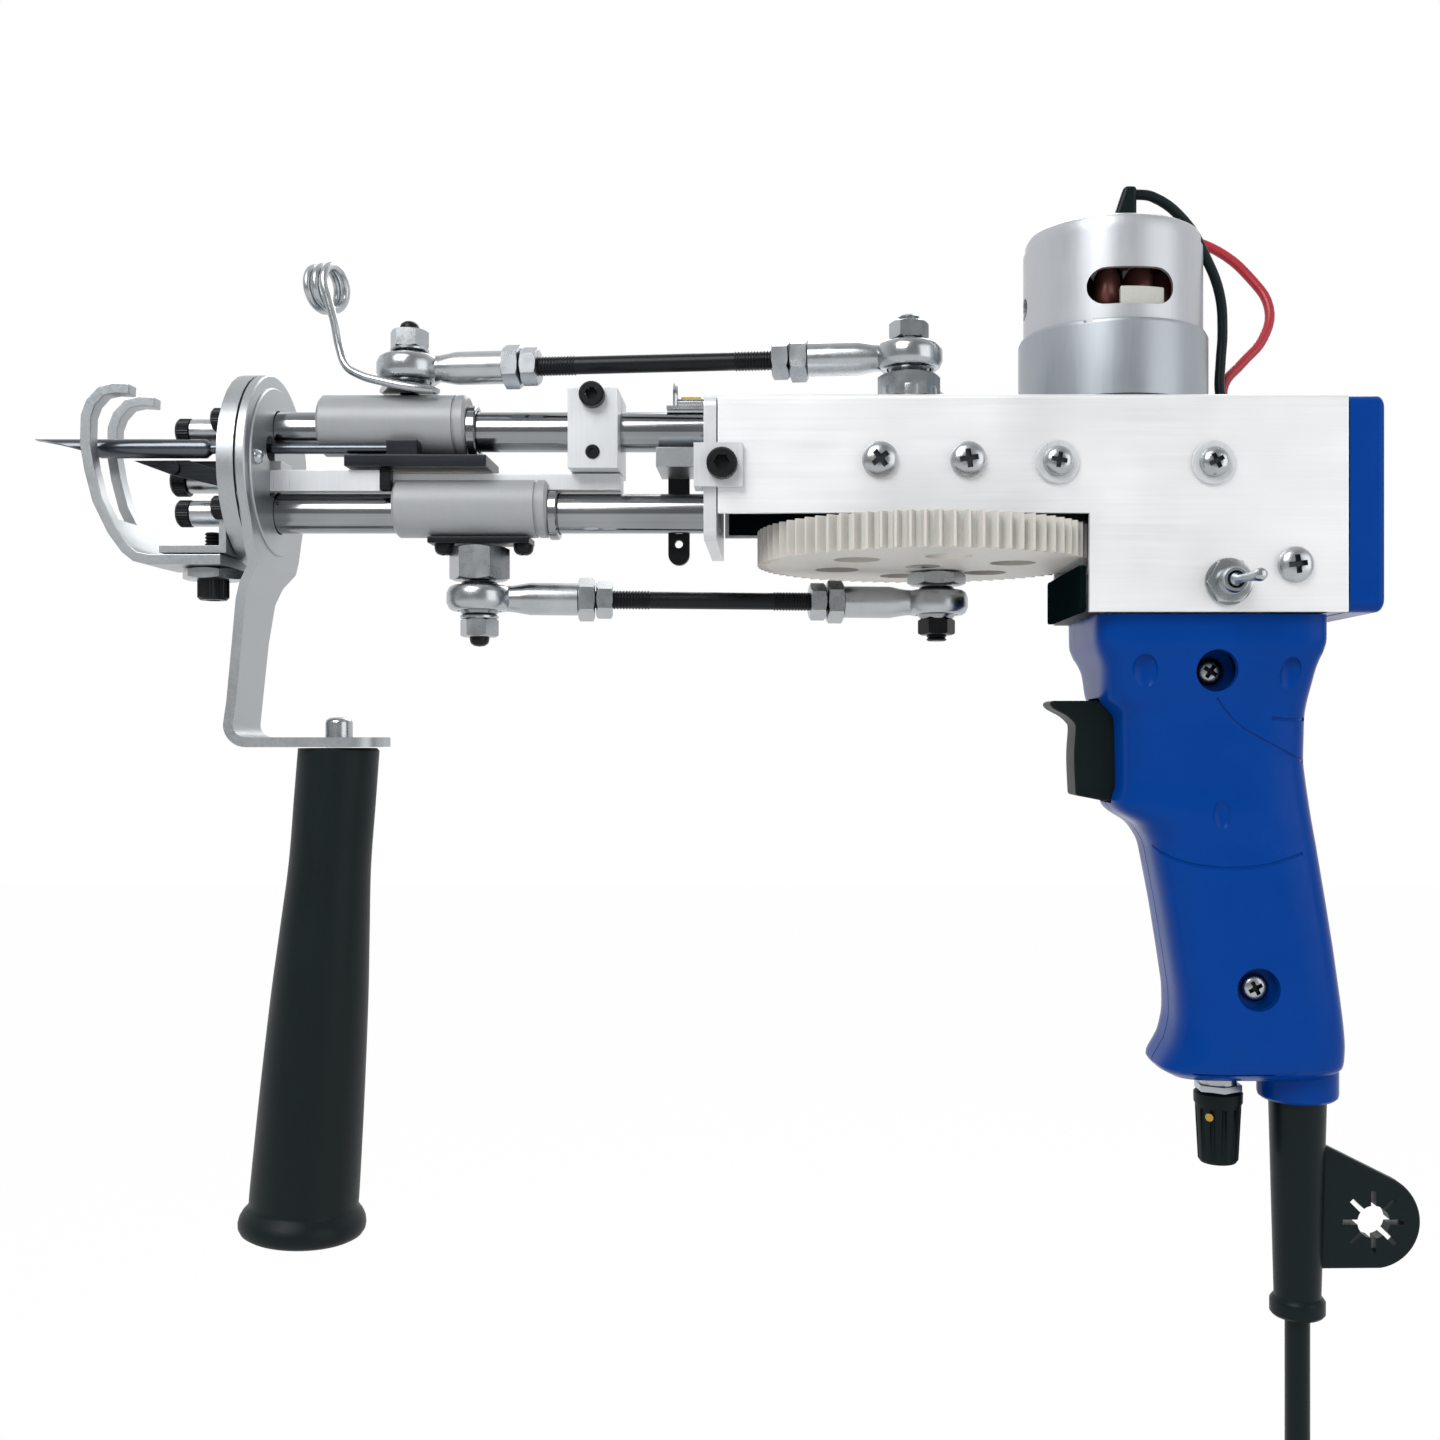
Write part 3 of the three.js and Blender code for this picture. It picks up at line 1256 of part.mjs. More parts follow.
// Grip: two moulded shells lofted through rows of [height, front, rear, half width] shares
const gripRowShares = [
  [0, 0, 0.899, 1], [0.05, 0.015, 0.895, 1], [0.099, 0.049, 0.87, 0.96], [0.176, 0.055, 0.846, 0.86],
  [0.207, 0.115, 0.838, 0.82], [0.307, 0.118, 0.839, 0.78], [0.361, 0.12, 0.851, 0.77], [0.392, 0.096, 0.86, 0.77],
  [0.415, 0.127, 0.866, 0.77], [0.437, 0.205, 0.871, 0.77], [0.478, 0.25, 0.887, 0.76], [0.604, 0.294, 0.925, 0.76],
  [0.7, 0.322, 0.953, 0.76], [0.798, 0.349, 0.977, 0.77], [0.857, 0.352, 0.988, 0.78], [0.904, 0.333, 0.996, 0.79],
  [0.953, 0.278, 0.993, 0.8], [0.983, 0.289, 0.975, 0.79], [1, 0.345, 0.94, 0.76],
];
const gripRingSides = 18;
const gripTop = rearBottom - gripTopGap;
function gripBody(inset) {
  const rows = gripRowShares.map(([down, front, rear, half]) => {
    const height = gripTop - Math.min(Math.max(down * gripLength, inset), gripLength - inset);
    const x0 = gripFront + front * gripDepth + inset;
    const x1 = gripFront + rear * gripDepth - inset;
    const ring = [];
    for (let k = 0; k < gripRingSides; k += 1) {
      const angle = ((k + 0.5) / gripRingSides) * Math.PI * 2;
      const bend = (value) => Math.sign(value) * Math.abs(value) ** (2 / gripRoundness);
      ring.push(new THREE.Vector3(
        (x0 + x1) / 2 + ((x1 - x0) / 2) * bend(Math.cos(angle)),
        (half * gripHalfWidth - inset) * bend(Math.sin(angle)),
        height,
      ));
    }
    return ring;
  });
  const kept = rows.filter((ring, i) => i === 0 || rows[i - 1][0].z - ring[0].z > weld);
  return stack(kept);
}

// A closed solid through rings of points, listed from the top down
function stack(rings) {
  const sides = rings[0].length;
  const faces = [];
  for (let i = 0; i < rings.length - 1; i += 1) {
    for (let k = 0; k < sides; k += 1) {
      const a = i * sides + k;
      const b = i * sides + ((k + 1) % sides);
      faces.push(a, b + sides, b, a, a + sides, b + sides);
    }
  }
  const last = (rings.length - 1) * sides;
  for (let k = 1; k < sides - 1; k += 1) {
    faces.push(0, k, k + 1);
    faces.push(last, last + k + 1, last + k);
  }
  const geometry = new THREE.BufferGeometry();
  const flat = rings.flat().flatMap((point) => point.toArray());
  geometry.setAttribute('position', new THREE.Float32BufferAttribute(flat, 3));
  geometry.setIndex(faces);
  return geometry;
}

const gripBottom = gripTop - gripLength;
const earWall = housingWidth / 2 - housingWall - seat;
const switchFront = triggerFace + triggerDepth + triggerTravel + 2 * seat;
const triggerBottom = triggerTop - triggerHeight;
const screwShares = [[0.52, 0.105], [0.665, 0.785]];
const screwSpots = screwShares.map(([back, down]) =>
  ({ x: gripFront + gripDepth * back, z: gripTop - gripLength * down }));
function gripShells() {
  const hollow = gripBody(gripWall);
  const bossRadius = screwRecessDiameter / 2 + gripWall / 2;
  const full = cut(gripBody(0), hollow);
  const finger = triggerWidth / 2 + triggerGap;
  const recess = box(gripFront - overrun, triggerFace + triggerDepth + triggerTravel + seat, -finger, finger,
    triggerBottom - triggerGap, triggerTop + triggerGap);
  const potHole = round('z', potCollarDiameter / 2 + seat, gripBottom - overrun, gripBottom + gripWall + overrun, knobX,
    0, smallSides);
  const cordBoss = taper('z', cordBossDiameter / 2 - gripWall / 4, cordBossDiameter / 2,
    gripBottom - cordBossHeight, gripBottom + gripWall / 2, cordX, 0);
  const guardHole = round('z', guardTopDiameter / 2 + seat, gripBottom - cordBossHeight - overrun,
    gripBottom + 2 * gripWall, cordX, 0);
  const open = [recess, potHole, guardHole];
  [-1, 1].forEach((side) => {
    const near = side * gripSplit / 2;
    const far = side * 2 * gripHalfWidth;
    const half = box(gripFront - gripDepth, gripFront + 2 * gripDepth, Math.min(near, far), Math.max(near, far),
      gripBottom - 2 * cordBossHeight, gripTop + overrun);
    const bosses = screwSpots.map(({ x, z }) =>
      common(gripBody(gripWall / 2), common(half, round('y', bossRadius, -gripHalfWidth, gripHalfWidth, x, z,
        smallSides))));
    const sinks = screwSpots.map(({ x, z }) => {
      const surface = side * gripWaist;
      const floor = surface - side * screwRecessDepth;
      return round('y', screwRecessDiameter / 2, Math.min(floor, far), Math.max(floor, far), x, z, smallSides);
    });
    const pads = [switchWidth / 2 + seat, gripHalfWidth].map((reach) => side * reach).sort((a, b) => a - b);
    const pad = common(gripBody(gripWall / 2), round('y', switchHeight / 4, ...pads, switchFront + switchLength / 2,
      (triggerTop + triggerBottom) / 2, smallSides));
    const ears = [earWall - gripWall, earWall].map((reach) => side * reach).sort((a, b) => a - b);
    const ear = box(crankToRear - capPlugDepth - earLength, crankToRear - capPlugDepth, ...ears,
      gripTop - 2 * gripWall, gripTop + earHeight);
    const shell = cut(join(common(full, half), common(cordBoss, half), ...bosses, pad, ear), ...open, ...sinks);
    add(side < 0 ? 'grip_shell_near' : 'grip_shell_far', shell, bluePlastic);
  });
}

// Trigger: a finger piece with a forward horn on top, which slides back into the grip
function trigger() {
  const front = triggerFace;
  const rear = front + triggerDepth;
  const shape = outline([
    [front - triggerHornReach, triggerTop - triggerHornHeight / 6],
    [front + triggerHornHeight, triggerTop], [rear, triggerTop],
    [rear, triggerBottom], [front + triggerHornReach, triggerBottom],
    [front, triggerBottom + triggerHornHeight / 2], [front - gripWall / 8, (triggerTop + triggerBottom) / 2],
    [front, triggerTop - triggerHornDrop], [front - triggerHornReach / 5, triggerTop - triggerHornHeight],
    [front - triggerHornReach, triggerTop - triggerHornHeight / 3],
  ]);
  const half = triggerWidth / 2;
  add('trigger', extrude('y', shape, -half, half), blackPlastic);
}

function triggerSwitch() {
  const middle = (triggerTop + triggerBottom) / 2;
  const half = switchWidth / 2;
  add('trigger_switch', extrude('y', roundedRect(switchFront, switchFront + switchLength, middle - switchHeight / 2,
    middle + switchHeight / 2, screwRecessDepth / 2), -half, half), blackPlastic);
}

// Speed control: the potentiometer in the grip's floor and its fluted knob
function speedControl() {
  const inside = gripBottom + gripWall;
  const outside = gripBottom - seat;
  const body = turned([
    [0, outside - toggleBushLength / 2], [potShaftDiameter / 2, outside - toggleBushLength / 2],
    [potShaftDiameter / 2, outside - toggleNutThickness], [potCollarDiameter / 2, outside - toggleNutThickness],
    [potCollarDiameter / 2, inside + seat], [potBodyDiameter / 2, inside + seat],
    [potBodyDiameter / 2, inside + seat + potBodyHeight], [0, inside + seat + potBodyHeight],
  ]);
  body.translate(knobX, 0, 0);
  const nut = hex('z', potNutFlats, outside - toggleNutThickness, outside, knobX, 0);
  add('speed_potentiometer', join(body, nut), zincSteel);
  const top = outside - toggleNutThickness - seat;
  const bottom = top - knobHeight;
  const cone = taper('z', knobEndDiameter / 2, knobTopDiameter / 2, bottom, top, knobX, 0);
  const flutes = [];
  for (let i = 0; i < knobFlutes; i += 1) {
    const angle = (i / knobFlutes) * Math.PI * 2;
    const reach = knobEndDiameter / 2 + knobFluteDepth;
    flutes.push(round('z', 2 * knobFluteDepth, bottom - overrun, top - knobHeight / 4,
      knobX + reach * Math.cos(angle), reach * Math.sin(angle), wireSides));
  }
  const socket = round('z', potShaftDiameter / 2 + seat, top - toggleBushLength, top + overrun, knobX, 0, smallSides);
  add('speed_knob', cut(cone, ...flutes, socket), blackPlastic);
}

// Toggle switch on the housing's near side, with its bat lever leaning towards the rear cap
function toggleSwitch() {
  const wall = -housingWidth / 2;
  const face = wall - seat - toggleNutThickness;
  const mouth = wall + housingWall + seat - toggleBushLength - toggleNutThickness;
  const inside = wall + housingWall + seat;
  const place = (geometry) => geometry.translate(toggleX, 0, toggleHeight);
  const body = join(
    box(-toggleBodyLength / 2, toggleBodyLength / 2, inside, inside + toggleBodyDepth, -toggleBodyWidth / 2,
      toggleBodyWidth / 2),
    round('y', toggleHoleDiameter / 2 - seat, mouth, inside + overrun, 0, 0, smallSides),
    hex('y', toggleNutFlats, face, face + toggleNutThickness),
  );
  const pocket = round('y', toggleBallDiameter / 2 + seat, mouth - overrun, mouth + toggleBallDiameter, 0, 0, smallSides);
  add('toggle_switch', place(cut(body, pocket)), zincSteel);
  const pivotY = mouth + toggleBallDiameter / 4;
  const lever = taper('y', toggleLeverTip / 2, toggleLeverRoot / 2, -toggleLeverLength, 0, 0, 0, smallSides);
  const tip = new THREE.SphereGeometry(toggleLeverTip / 2, smallSides, 6).translate(0, -toggleLeverLength, 0);
  const ball = new THREE.SphereGeometry(toggleBallDiameter / 2, smallSides, 6);
  const bat = join(lever, tip, ball);
  bat.rotateZ(THREE.MathUtils.degToRad(toggleLean));
  bat.translate(0, pivotY, 0);
  add('toggle_lever', place(bat), zincSteel);
}

// Cord guard: a rubber strain relief moulded in one with the key holder
function cordGuard() {
  const bottom = guardBottom;
  const profile = turned([
    [0, bottom], [guardRimDiameter / 2, bottom], [guardRimDiameter / 2, bottom + guardRimHeight],
    [guardBottomDiameter / 2, bottom + guardRimHeight + overrun],
    [guardTopDiameter / 2, gripBottom - cordBossHeight], [guardTopDiameter / 2, guardTop], [0, guardTop],
  ]);
  profile.translate(cordX, 0, 0);
  const half = tabThickness / 2;
  const holeX = cordX + tabHoleX;
  const holeZ = guardBottom + tabHoleHeight;
  const reach = tabSlotReach + tabHoleRadius;
  const tab = new THREE.Shape();
  tab.moveTo(cordX, holeZ + tabShoulder);
  tab.lineTo(cordX + guardTopDiameter / 2, holeZ + tabRise);
  tab.absarc(holeX, holeZ, reach, THREE.MathUtils.degToRad(tabArcStart), THREE.MathUtils.degToRad(tabArcEnd), true);
  tab.lineTo(cordX, holeZ - reach);
  const plate = extrude('y', tab, -half, half);
  const hole = round('y', tabHoleRadius, -half - overrun, half + overrun, holeX, holeZ);
  const slots = [];
  for (let i = 0; i < tabSlots; i += 1) {
    const slot = box(0, tabSlotReach, -half - overrun, half + overrun, -tabSlotWidth / 2, tabSlotWidth / 2);
    slot.rotateY((i / tabSlots) * Math.PI * 2);
    slots.push(slot.translate(holeX, 0, holeZ));
  }
  add('cord_guard', cut(join(profile, plate), hole, ...slots), blackRubber);
}

// Low-voltage lead: a straight drop, then a hank drawn in at its tie, ending in an in-line barrel socket
const dropBottom = guardBottom - seat - dropLength;
const hankTop = dropBottom - seat;
const hankCentreX = cordX + hankFoldRadius;
function hankPoints() {
  const runLength = hankRun;
  const foldLength = Math.PI * hankFoldRadius;
  const round360 = 2 * runLength + 2 * foldLength;
  const lead = cordDiameter;
  const points = [];
  const top = hankTop - lead - hankFoldRadius;
  const half = (share) => {
    const drawn = hankFoldRadius - hankWaist / 2;
    return hankFoldRadius - drawn * (0.5 - 0.5 * Math.cos(share * Math.PI * 2));
  };
  const total = hankRounds * round360 + runLength;
  const steps = Math.round((total / round360) * hankStepsPerRound);
  for (let i = 0; i <= steps; i += 1) {
    const travelled = (i / steps) * total;
    const turn = Math.floor(travelled / round360 + weld);
    const part = travelled - turn * round360;
    const layer = turn * hankPitch;
    if (part <= runLength) {
      const share = part / runLength;
      points.push(new THREE.Vector3(hankCentreX - half(share), layer, top - part));
    } else if (part <= runLength + foldLength) {
      const angle = (part - runLength) / hankFoldRadius;
      points.push(new THREE.Vector3(hankCentreX - hankFoldRadius * Math.cos(angle), layer,
        top - runLength - hankFoldRadius * Math.sin(angle)));
    } else if (part <= 2 * runLength + foldLength) {
      const share = (part - runLength - foldLength) / runLength;
      const climb = hankPitch * (0.5 - 0.5 * Math.cos(share * Math.PI));
      points.push(new THREE.Vector3(hankCentreX + half(share), layer + climb, top - runLength * (1 - share)));
    } else {
      const angle = (part - 2 * runLength - foldLength) / hankFoldRadius;
      points.push(new THREE.Vector3(hankCentreX + hankFoldRadius * Math.cos(angle), layer + hankPitch,
        top + hankFoldRadius * Math.sin(angle)));
    }
  }
  points.unshift(new THREE.Vector3(points[0].x, points[0].y, hankTop));
  const end = points[points.length - 1];
  points.push(new THREE.Vector3(end.x, end.y, end.z - hankFoldRadius - lead));
  return points;
}

function cordAndHank() {
  const radius = cordDiameter / 2;
  add('cord_drop', round('z', radius, dropBottom, guardBottom - seat, cordX, 0, leadSides), blackRubber);
  const points = hankPoints();
  console.log('hank', leastGap(points, cordDiameter));
  add('cord_hank', sweep(points, radius, wireSides), blackRubber);
  const waist = points[1].z - hankRun / 2;
  const halfX = hankWaist / 2 + radius + tieGap;
  const y0 = -radius - tieGap;
  const y1 = hankRounds * hankPitch + radius + tieGap;
  const tie = (grow, z0, z1) => extrude('z', roundedRect(hankCentreX - halfX - grow, hankCentreX + halfX + grow,
    y0 - grow, y1 + grow, radius), z0, z1);
  add('cord_tie', cut(
    tie(tieThickness, waist - tieHeight / 2, waist + tieHeight / 2),
    tie(0, waist - tieHeight, waist + tieHeight),
  ), blackRubber);
  const end = points[points.length - 1];
  const top = end.z - seat;
  const body = turned([
    [0, -socketLength], [socketDiameter / 2 - seat, -socketLength], [socketDiameter / 2, seat - socketLength],
    [socketDiameter / 2, -socketLength / 3], [socketNeckDiameter / 2, -socketLength / 5], [socketNeckDiameter / 2, 0],
    [0, 0],
  ]);
  body.translate(end.x, end.y, top);
  const bottom = top - socketLength;
  const bore = round('z', socketBore / 2, bottom - overrun, bottom + socketBoreDepth, end.x, end.y, smallSides);
  const pin = round('z', socketBore / 5, bottom + overrun, bottom + socketBoreDepth + overrun, end.x, end.y, leadSides);
  add('power_socket', join(cut(body, bore), pin), blackPlastic);
}

// Motor leads: from the two terminals out behind the motor and down through the housing's top.
// Each row is the share of the lead's reach, of its way to the middle and of its fall.
const blackLeadShares = [
  [0.16, 0, 0], [0.518, 0.33, 0.022], [0.782, 0.58, 0.14], [0.962, 0.75, 0.293], [1, 0.816, 0.424],
  [0.962, 0.833, 0.556], [0.96, 0.833, 0.702], [0.96, 0.833, 1],
];
const redLeadShares = [
  [0.111, 0, 0.018], [0.363, 0.33, 0.084], [0.574, 0.498, 0.162], [0.763, 0.665, 0.271], [0.929, 0.782, 0.349],
  [1, 0.833, 0.445], [0.963, 0.833, 0.556], [0.829, 0.833, 0.647], [0.708, 0.833, 0.729], [0.667, 0.833, 0.82],
  [0.667, 0.833, 1],
];
function motorLeads() {
  const side = bellBossDiameter / 2 + terminalThickness;
  const startX = motorToCrank + terminalWidth / 2 + seat;
  const height = bellTop + terminalHeight + bellHeight / 2;
  const fall = height - (housingTop - leadTuck);
  const lead = (name, shares, from, reach, look) => {
    const points = shares.map(([out, inward, down]) =>
      [startX + out * reach, from * (1 - inward), height - down * fall]);
    points.unshift([startX, from, height]);
    add(name, wire(points, leadDiameter / 2, wireSides, 22), look);
  };
  lead('motor_lead_black', blackLeadShares, -side, blackLeadReach, blackRubber);
  lead('motor_lead_red', redLeadShares, side, redLeadReach, redWire);
}

housing();
rearCap();
frontEndPlate();
angleClip();
guideRods();
frontDisc();
handleBracket();
frontHandle();
presserFoot();
footBracket();
footBolt();
antiRotationBar();
clampBlock();
wireBracket();
rearEyelet();
motorCan();
fluxRing();
motorEndBell();
motorMountPlate();
armature();
driveGear();
pinion();
crankBearings();
crankShaft();
upperCrankArm();
lowerCrankPin();
upperSlide();
yarnEye();
lowerSlide();
scissors();
connectingRod('upper_conrod', { x: -upperPinToCrank, y: 0 }, upperPin, upperConrodHeight, 1);
connectingRod('lower_conrod', { x: -lowerPinToCrank, y: 0 }, lowerPin, lowerConrodHeight, -1);
gripShells();
trigger();
triggerSwitch();
speedControl();
toggleSwitch();
cordGuard();
cordAndHank();
motorLeads();

// The part's origin is the point that the hand closes round
machine.position.set(-holdX, 0, -holdZ);
const part = new THREE.Group();
part.add(machine);
export default part;
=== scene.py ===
import math
import bmesh
import bpy
from mathutils import Matrix, Vector


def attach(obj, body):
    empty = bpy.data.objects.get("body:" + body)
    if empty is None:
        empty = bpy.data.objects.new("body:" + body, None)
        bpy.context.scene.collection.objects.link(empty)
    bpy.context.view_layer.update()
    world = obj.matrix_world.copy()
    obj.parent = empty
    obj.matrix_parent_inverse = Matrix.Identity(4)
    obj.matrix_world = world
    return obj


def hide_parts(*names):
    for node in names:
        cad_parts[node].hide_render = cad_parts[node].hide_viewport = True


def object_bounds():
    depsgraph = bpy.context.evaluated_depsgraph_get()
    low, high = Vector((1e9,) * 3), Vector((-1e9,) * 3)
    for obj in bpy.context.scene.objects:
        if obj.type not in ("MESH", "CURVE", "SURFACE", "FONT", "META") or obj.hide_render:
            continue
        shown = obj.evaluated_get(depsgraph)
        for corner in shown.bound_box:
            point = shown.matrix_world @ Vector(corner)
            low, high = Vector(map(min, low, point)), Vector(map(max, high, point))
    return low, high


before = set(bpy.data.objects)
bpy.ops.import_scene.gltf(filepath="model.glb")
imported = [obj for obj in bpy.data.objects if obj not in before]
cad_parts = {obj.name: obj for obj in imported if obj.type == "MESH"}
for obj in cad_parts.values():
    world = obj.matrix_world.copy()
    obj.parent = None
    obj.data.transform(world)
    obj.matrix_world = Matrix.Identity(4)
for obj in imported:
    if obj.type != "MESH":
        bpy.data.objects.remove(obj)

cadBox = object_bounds()
mm = 0.001
origin = Vector((-74, 0, 90.8))  # the crank's axis and the needle's line, in the row frame
weld = 0.001

print("camera")
view = {"place": (-0.108, -0.365, 0.028), "lens": 37.9, "shiftX": -0.043, "shiftY": 0.0097}
cameraData = bpy.data.cameras.new("camera")
cameraData.lens = view["lens"]
cameraData.sensor_width = 36
cameraData.shift_x = view["shiftX"]
cameraData.shift_y = view["shiftY"]
cameraData.clip_start = 0.01
camera = bpy.data.objects.new("camera", cameraData)
camera.location = view["place"]
camera.rotation_euler = (math.pi / 2, 0, 0)
bpy.context.scene.collection.objects.link(camera)
bpy.context.scene.camera = camera
bpy.context.scene.view_settings.view_transform = "Standard"


def linear(hexColour):  # sRGB hex to the linear colour a shader wants
    channels = [int(hexColour[i:i + 2], 16) / 255 for i in (0, 2, 4)]
    return (*[c / 12.92 if c <= 0.04045 else ((c + 0.055) / 1.055) ** 2.4 for c in channels], 1)


def addNode(tree, kind, settings=None, links=None):
    node = tree.nodes.new(kind)
    for key, value in (settings or {}).items():
        if isinstance(key, str) and hasattr(node, key):
            setattr(node, key, value)
        else:
            node.inputs[key].default_value = value
    for key, source in (links or {}).items():
        tree.links.new(source.outputs[0] if isinstance(source, bpy.types.Node) else source, node.inputs[key])
    return node


print("finishes")
finishes = {}


def finish(name, colour, shade, rough, grain, relief, metal=0, draw=(1, 1, 1), sheen=0.5, glow=0):
    # colour and shade in sRGB, roughness from and to, grain in mm and how it is drawn out, relief in mm
    material = bpy.data.materials.new(name)
    material.use_nodes = True
    tree = material.node_tree
    shader = tree.nodes["Principled BSDF"]
    shader.inputs["Metallic"].default_value = metal
    shader.inputs["Specular IOR Level"].default_value = sheen
    shader.inputs["Subsurface Weight"].default_value = glow
    shader.inputs["Subsurface Scale"].default_value = 2 * mm
    spot = addNode(tree, "ShaderNodeTexCoord")
    perMetre = 1 / (grain * mm)
    drawn = addNode(tree, "ShaderNodeMapping", {"Scale": [perMetre * d for d in draw]},
        {"Vector": spot.outputs["Object"]})
    speckle = addNode(tree, "ShaderNodeTexNoise", {"Scale": 1, "Detail": 4, "Roughness": 0.6},
        {"Vector": drawn})
    clouds = addNode(tree, "ShaderNodeTexNoise", {"Scale": 45, "Detail": 2},
        {"Vector": spot.outputs["Object"]})
    half = addNode(tree, "ShaderNodeMath", {"operation": "MULTIPLY_ADD", 1: 0.6, 2: -0.1}, {0: speckle})
    both = addNode(tree, "ShaderNodeMath", {"operation": "MULTIPLY_ADD", 1: 0.6, "use_clamp": True},
        {0: clouds, 2: half})
    tint = addNode(tree, "ShaderNodeMix", {"data_type": "RGBA", 6: linear(shade), 7: linear(colour)},
        {0: both})
    spread = addNode(tree, "ShaderNodeMapRange", {"From Min": 0.3, "From Max": 0.7, "To Min": rough[0],
        "To Max": rough[1]}, {"Value": both})
    bump = addNode(tree, "ShaderNodeBump", {"Strength": 0.6, "Distance": relief * mm}, {"Height": speckle})
    for socket, output in (("Base Color", tint.outputs[2]), ("Roughness", spread.outputs[0]),
        ("Normal", bump.outputs[0])):
        tree.links.new(output, shader.inputs[socket])
    finishes[name] = material


# aluminium sheet, brushed level: pale, with fine lines along its length
finish("brushedAluminium", "f0f1f2", "dcdee0", (0.34, 0.5), 0.5, 0.006, metal=0.55, draw=(0.012, 1, 1))
# milled aluminium, cut across, with a brighter face than the sheet
finish("milledAluminium", "d6d9db", "bcbfc3", (0.26, 0.42), 0.5, 0.006, metal=0.3, draw=(1, 1, 0.05))
# bright zinc plate on turned steel: a soft mirror with cloudy patches
finish("zincPlate", "c6cacd", "94999d", (0.2, 0.36), 3.5, 0.002, metal=1)
# blasted and zinc-plated sheet of the bent parts, satin
finish("satinZinc", "b4b8bb", "959a9e", (0.3, 0.45), 0.7, 0.01, metal=0.9)
# ground and hardened shaft steel, drawn along its length
finish("groundSteel", "b4b7ba", "54585c", (0.1, 0.22), 1.3, 0.002, metal=1, draw=(0.01, 1, 1))
# polished tube of the needle, in a dark blue-grey
finish("needleSteel", "686d73", "3e4247", (0.18, 0.3), 0.4, 0.003, metal=1, draw=(0.02, 1, 1))
# hardened tool steel of the blades, oiled and nearly black
finish("oiledSteel", "33373c", "1b1e22", (0.24, 0.4), 0.5, 0.004, metal=0.8, draw=(0.05, 1, 1))
# flat black with no shine even at a low angle: painted shade, for the sheets that stand for the shadowed
# interior of the housing
finish("shadowBlackAbs", "0a1517", "071012", (0.8, 0.9), 0.8, 0.01, sheen=0.0)
# black oxide on steel screws, slightly oily
finish("blackOxide", "1b1d20", "0c0e10", (0.28, 0.42), 0.8, 0.004, metal=0.5, sheen=0.35)
# moulded nylon, off-white and a little translucent
finish("mouldedNylon", "c4c2bd", "b4b2ac", (0.42, 0.58), 2.4, 0.01, draw=(1, 1, 0.3), glow=0.12)
# turned acetal, cool grey-white and waxy, with fine rings from the tool
finish("turnedAcetal", "96999b", "8a8d90", (0.3, 0.45), 1.2, 0.008, draw=(2, 0.2, 0.2), glow=0.15)
# glossy moulded ABS in strong blue
finish("glossAbs", "003886", "00327c", (0.18, 0.28), 6, 0.01, sheen=0.07)
# black ABS of trigger and knob, with the mould's fine matt grain
finish("mattAbs", "061416", "040e10", (0.38, 0.5), 0.6, 0.012, sheen=0.14)
# moulded rubber of the handle: soft sheen and fine pores
finish("mouldedRubber", "0b1819", "081112", (0.4, 0.52), 0.9, 0.006, draw=(1, 1, 0.4), sheen=0.17)
# flexible PVC of the lead and its guard
finish("softPvc", "08171a", "051012", (0.32, 0.44), 1.5, 0.008, sheen=0.16)
# silver lacquer on the motor's drawn can
finish("silverLacquer", "bbbec2", "a9acb1", (0.3, 0.42), 0.5, 0.006, metal=0.6, draw=(1, 1, 0.06))
# rolled and plated steel band, greyer than the can
finish("rolledSteel", "a5abb0", "8c9298", (0.3, 0.44), 0.6, 0.006, metal=0.7, draw=(1, 1, 0.06))
# red PVC of the motor's plus lead
finish("redPvc", "a81d2b", "8c1622", (0.34, 0.46), 1.5, 0.006)
# enamelled copper wire, wound
finish("enamelCopper", "7a4a44", "42241f", (0.28, 0.42), 0.4, 0.02, metal=0.5, draw=(1, 1, 0.1))
# sintered ferrite, dull grey
finish("sinteredFerrite", "b9bab4", "9c9d97", (0.55, 0.7), 0.7, 0.01, metal=0.1)
# yellow silicone tube
finish("yellowSilicone", "d9c266", "c9ae4e", (0.4, 0.5), 1, 0.006, glow=0.1)
# turned brass of the set screw
finish("turnedBrass", "c9a254", "a8833c", (0.22, 0.34), 0.5, 0.004, metal=1, draw=(1, 1, 0.1))


def placePiece(name, data, finishNames, nodes, body):  # finishes and nodes are words in a row
    for finishName in finishNames.split():
        data.materials.append(finishes[finishName])
    piece = bpy.data.objects.new(name, data)
    bpy.context.scene.collection.objects.link(piece)
    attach(piece, body)
    hides = nodes.split()
    if hides:
        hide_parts(*hides)
    return piece


def wireCurve(name, radius, sides):
    curve = bpy.data.curves.new(name, "CURVE")
    curve.dimensions = "3D"
    curve.bevel_depth = radius
    curve.bevel_resolution = sides
    curve.resolution_u = 5
    curve.use_fill_caps = True
    return curve


def wirePiece(name, points, radius, finishName, hides, body="frame", sides=5):  # a round wire
    curve = wireCurve(name, radius * mm, sides)
    spline = curve.splines.new("BEZIER")
    spline.bezier_points.add(len(points) - 1)
    for point, knot in zip(points, spline.bezier_points):
        knot.co = (Vector(point) + origin) * mm
        knot.handle_left_type = knot.handle_right_type = "AUTO"
    return placePiece(name, curve, finishName, hides, body)


print("lead and its hank")
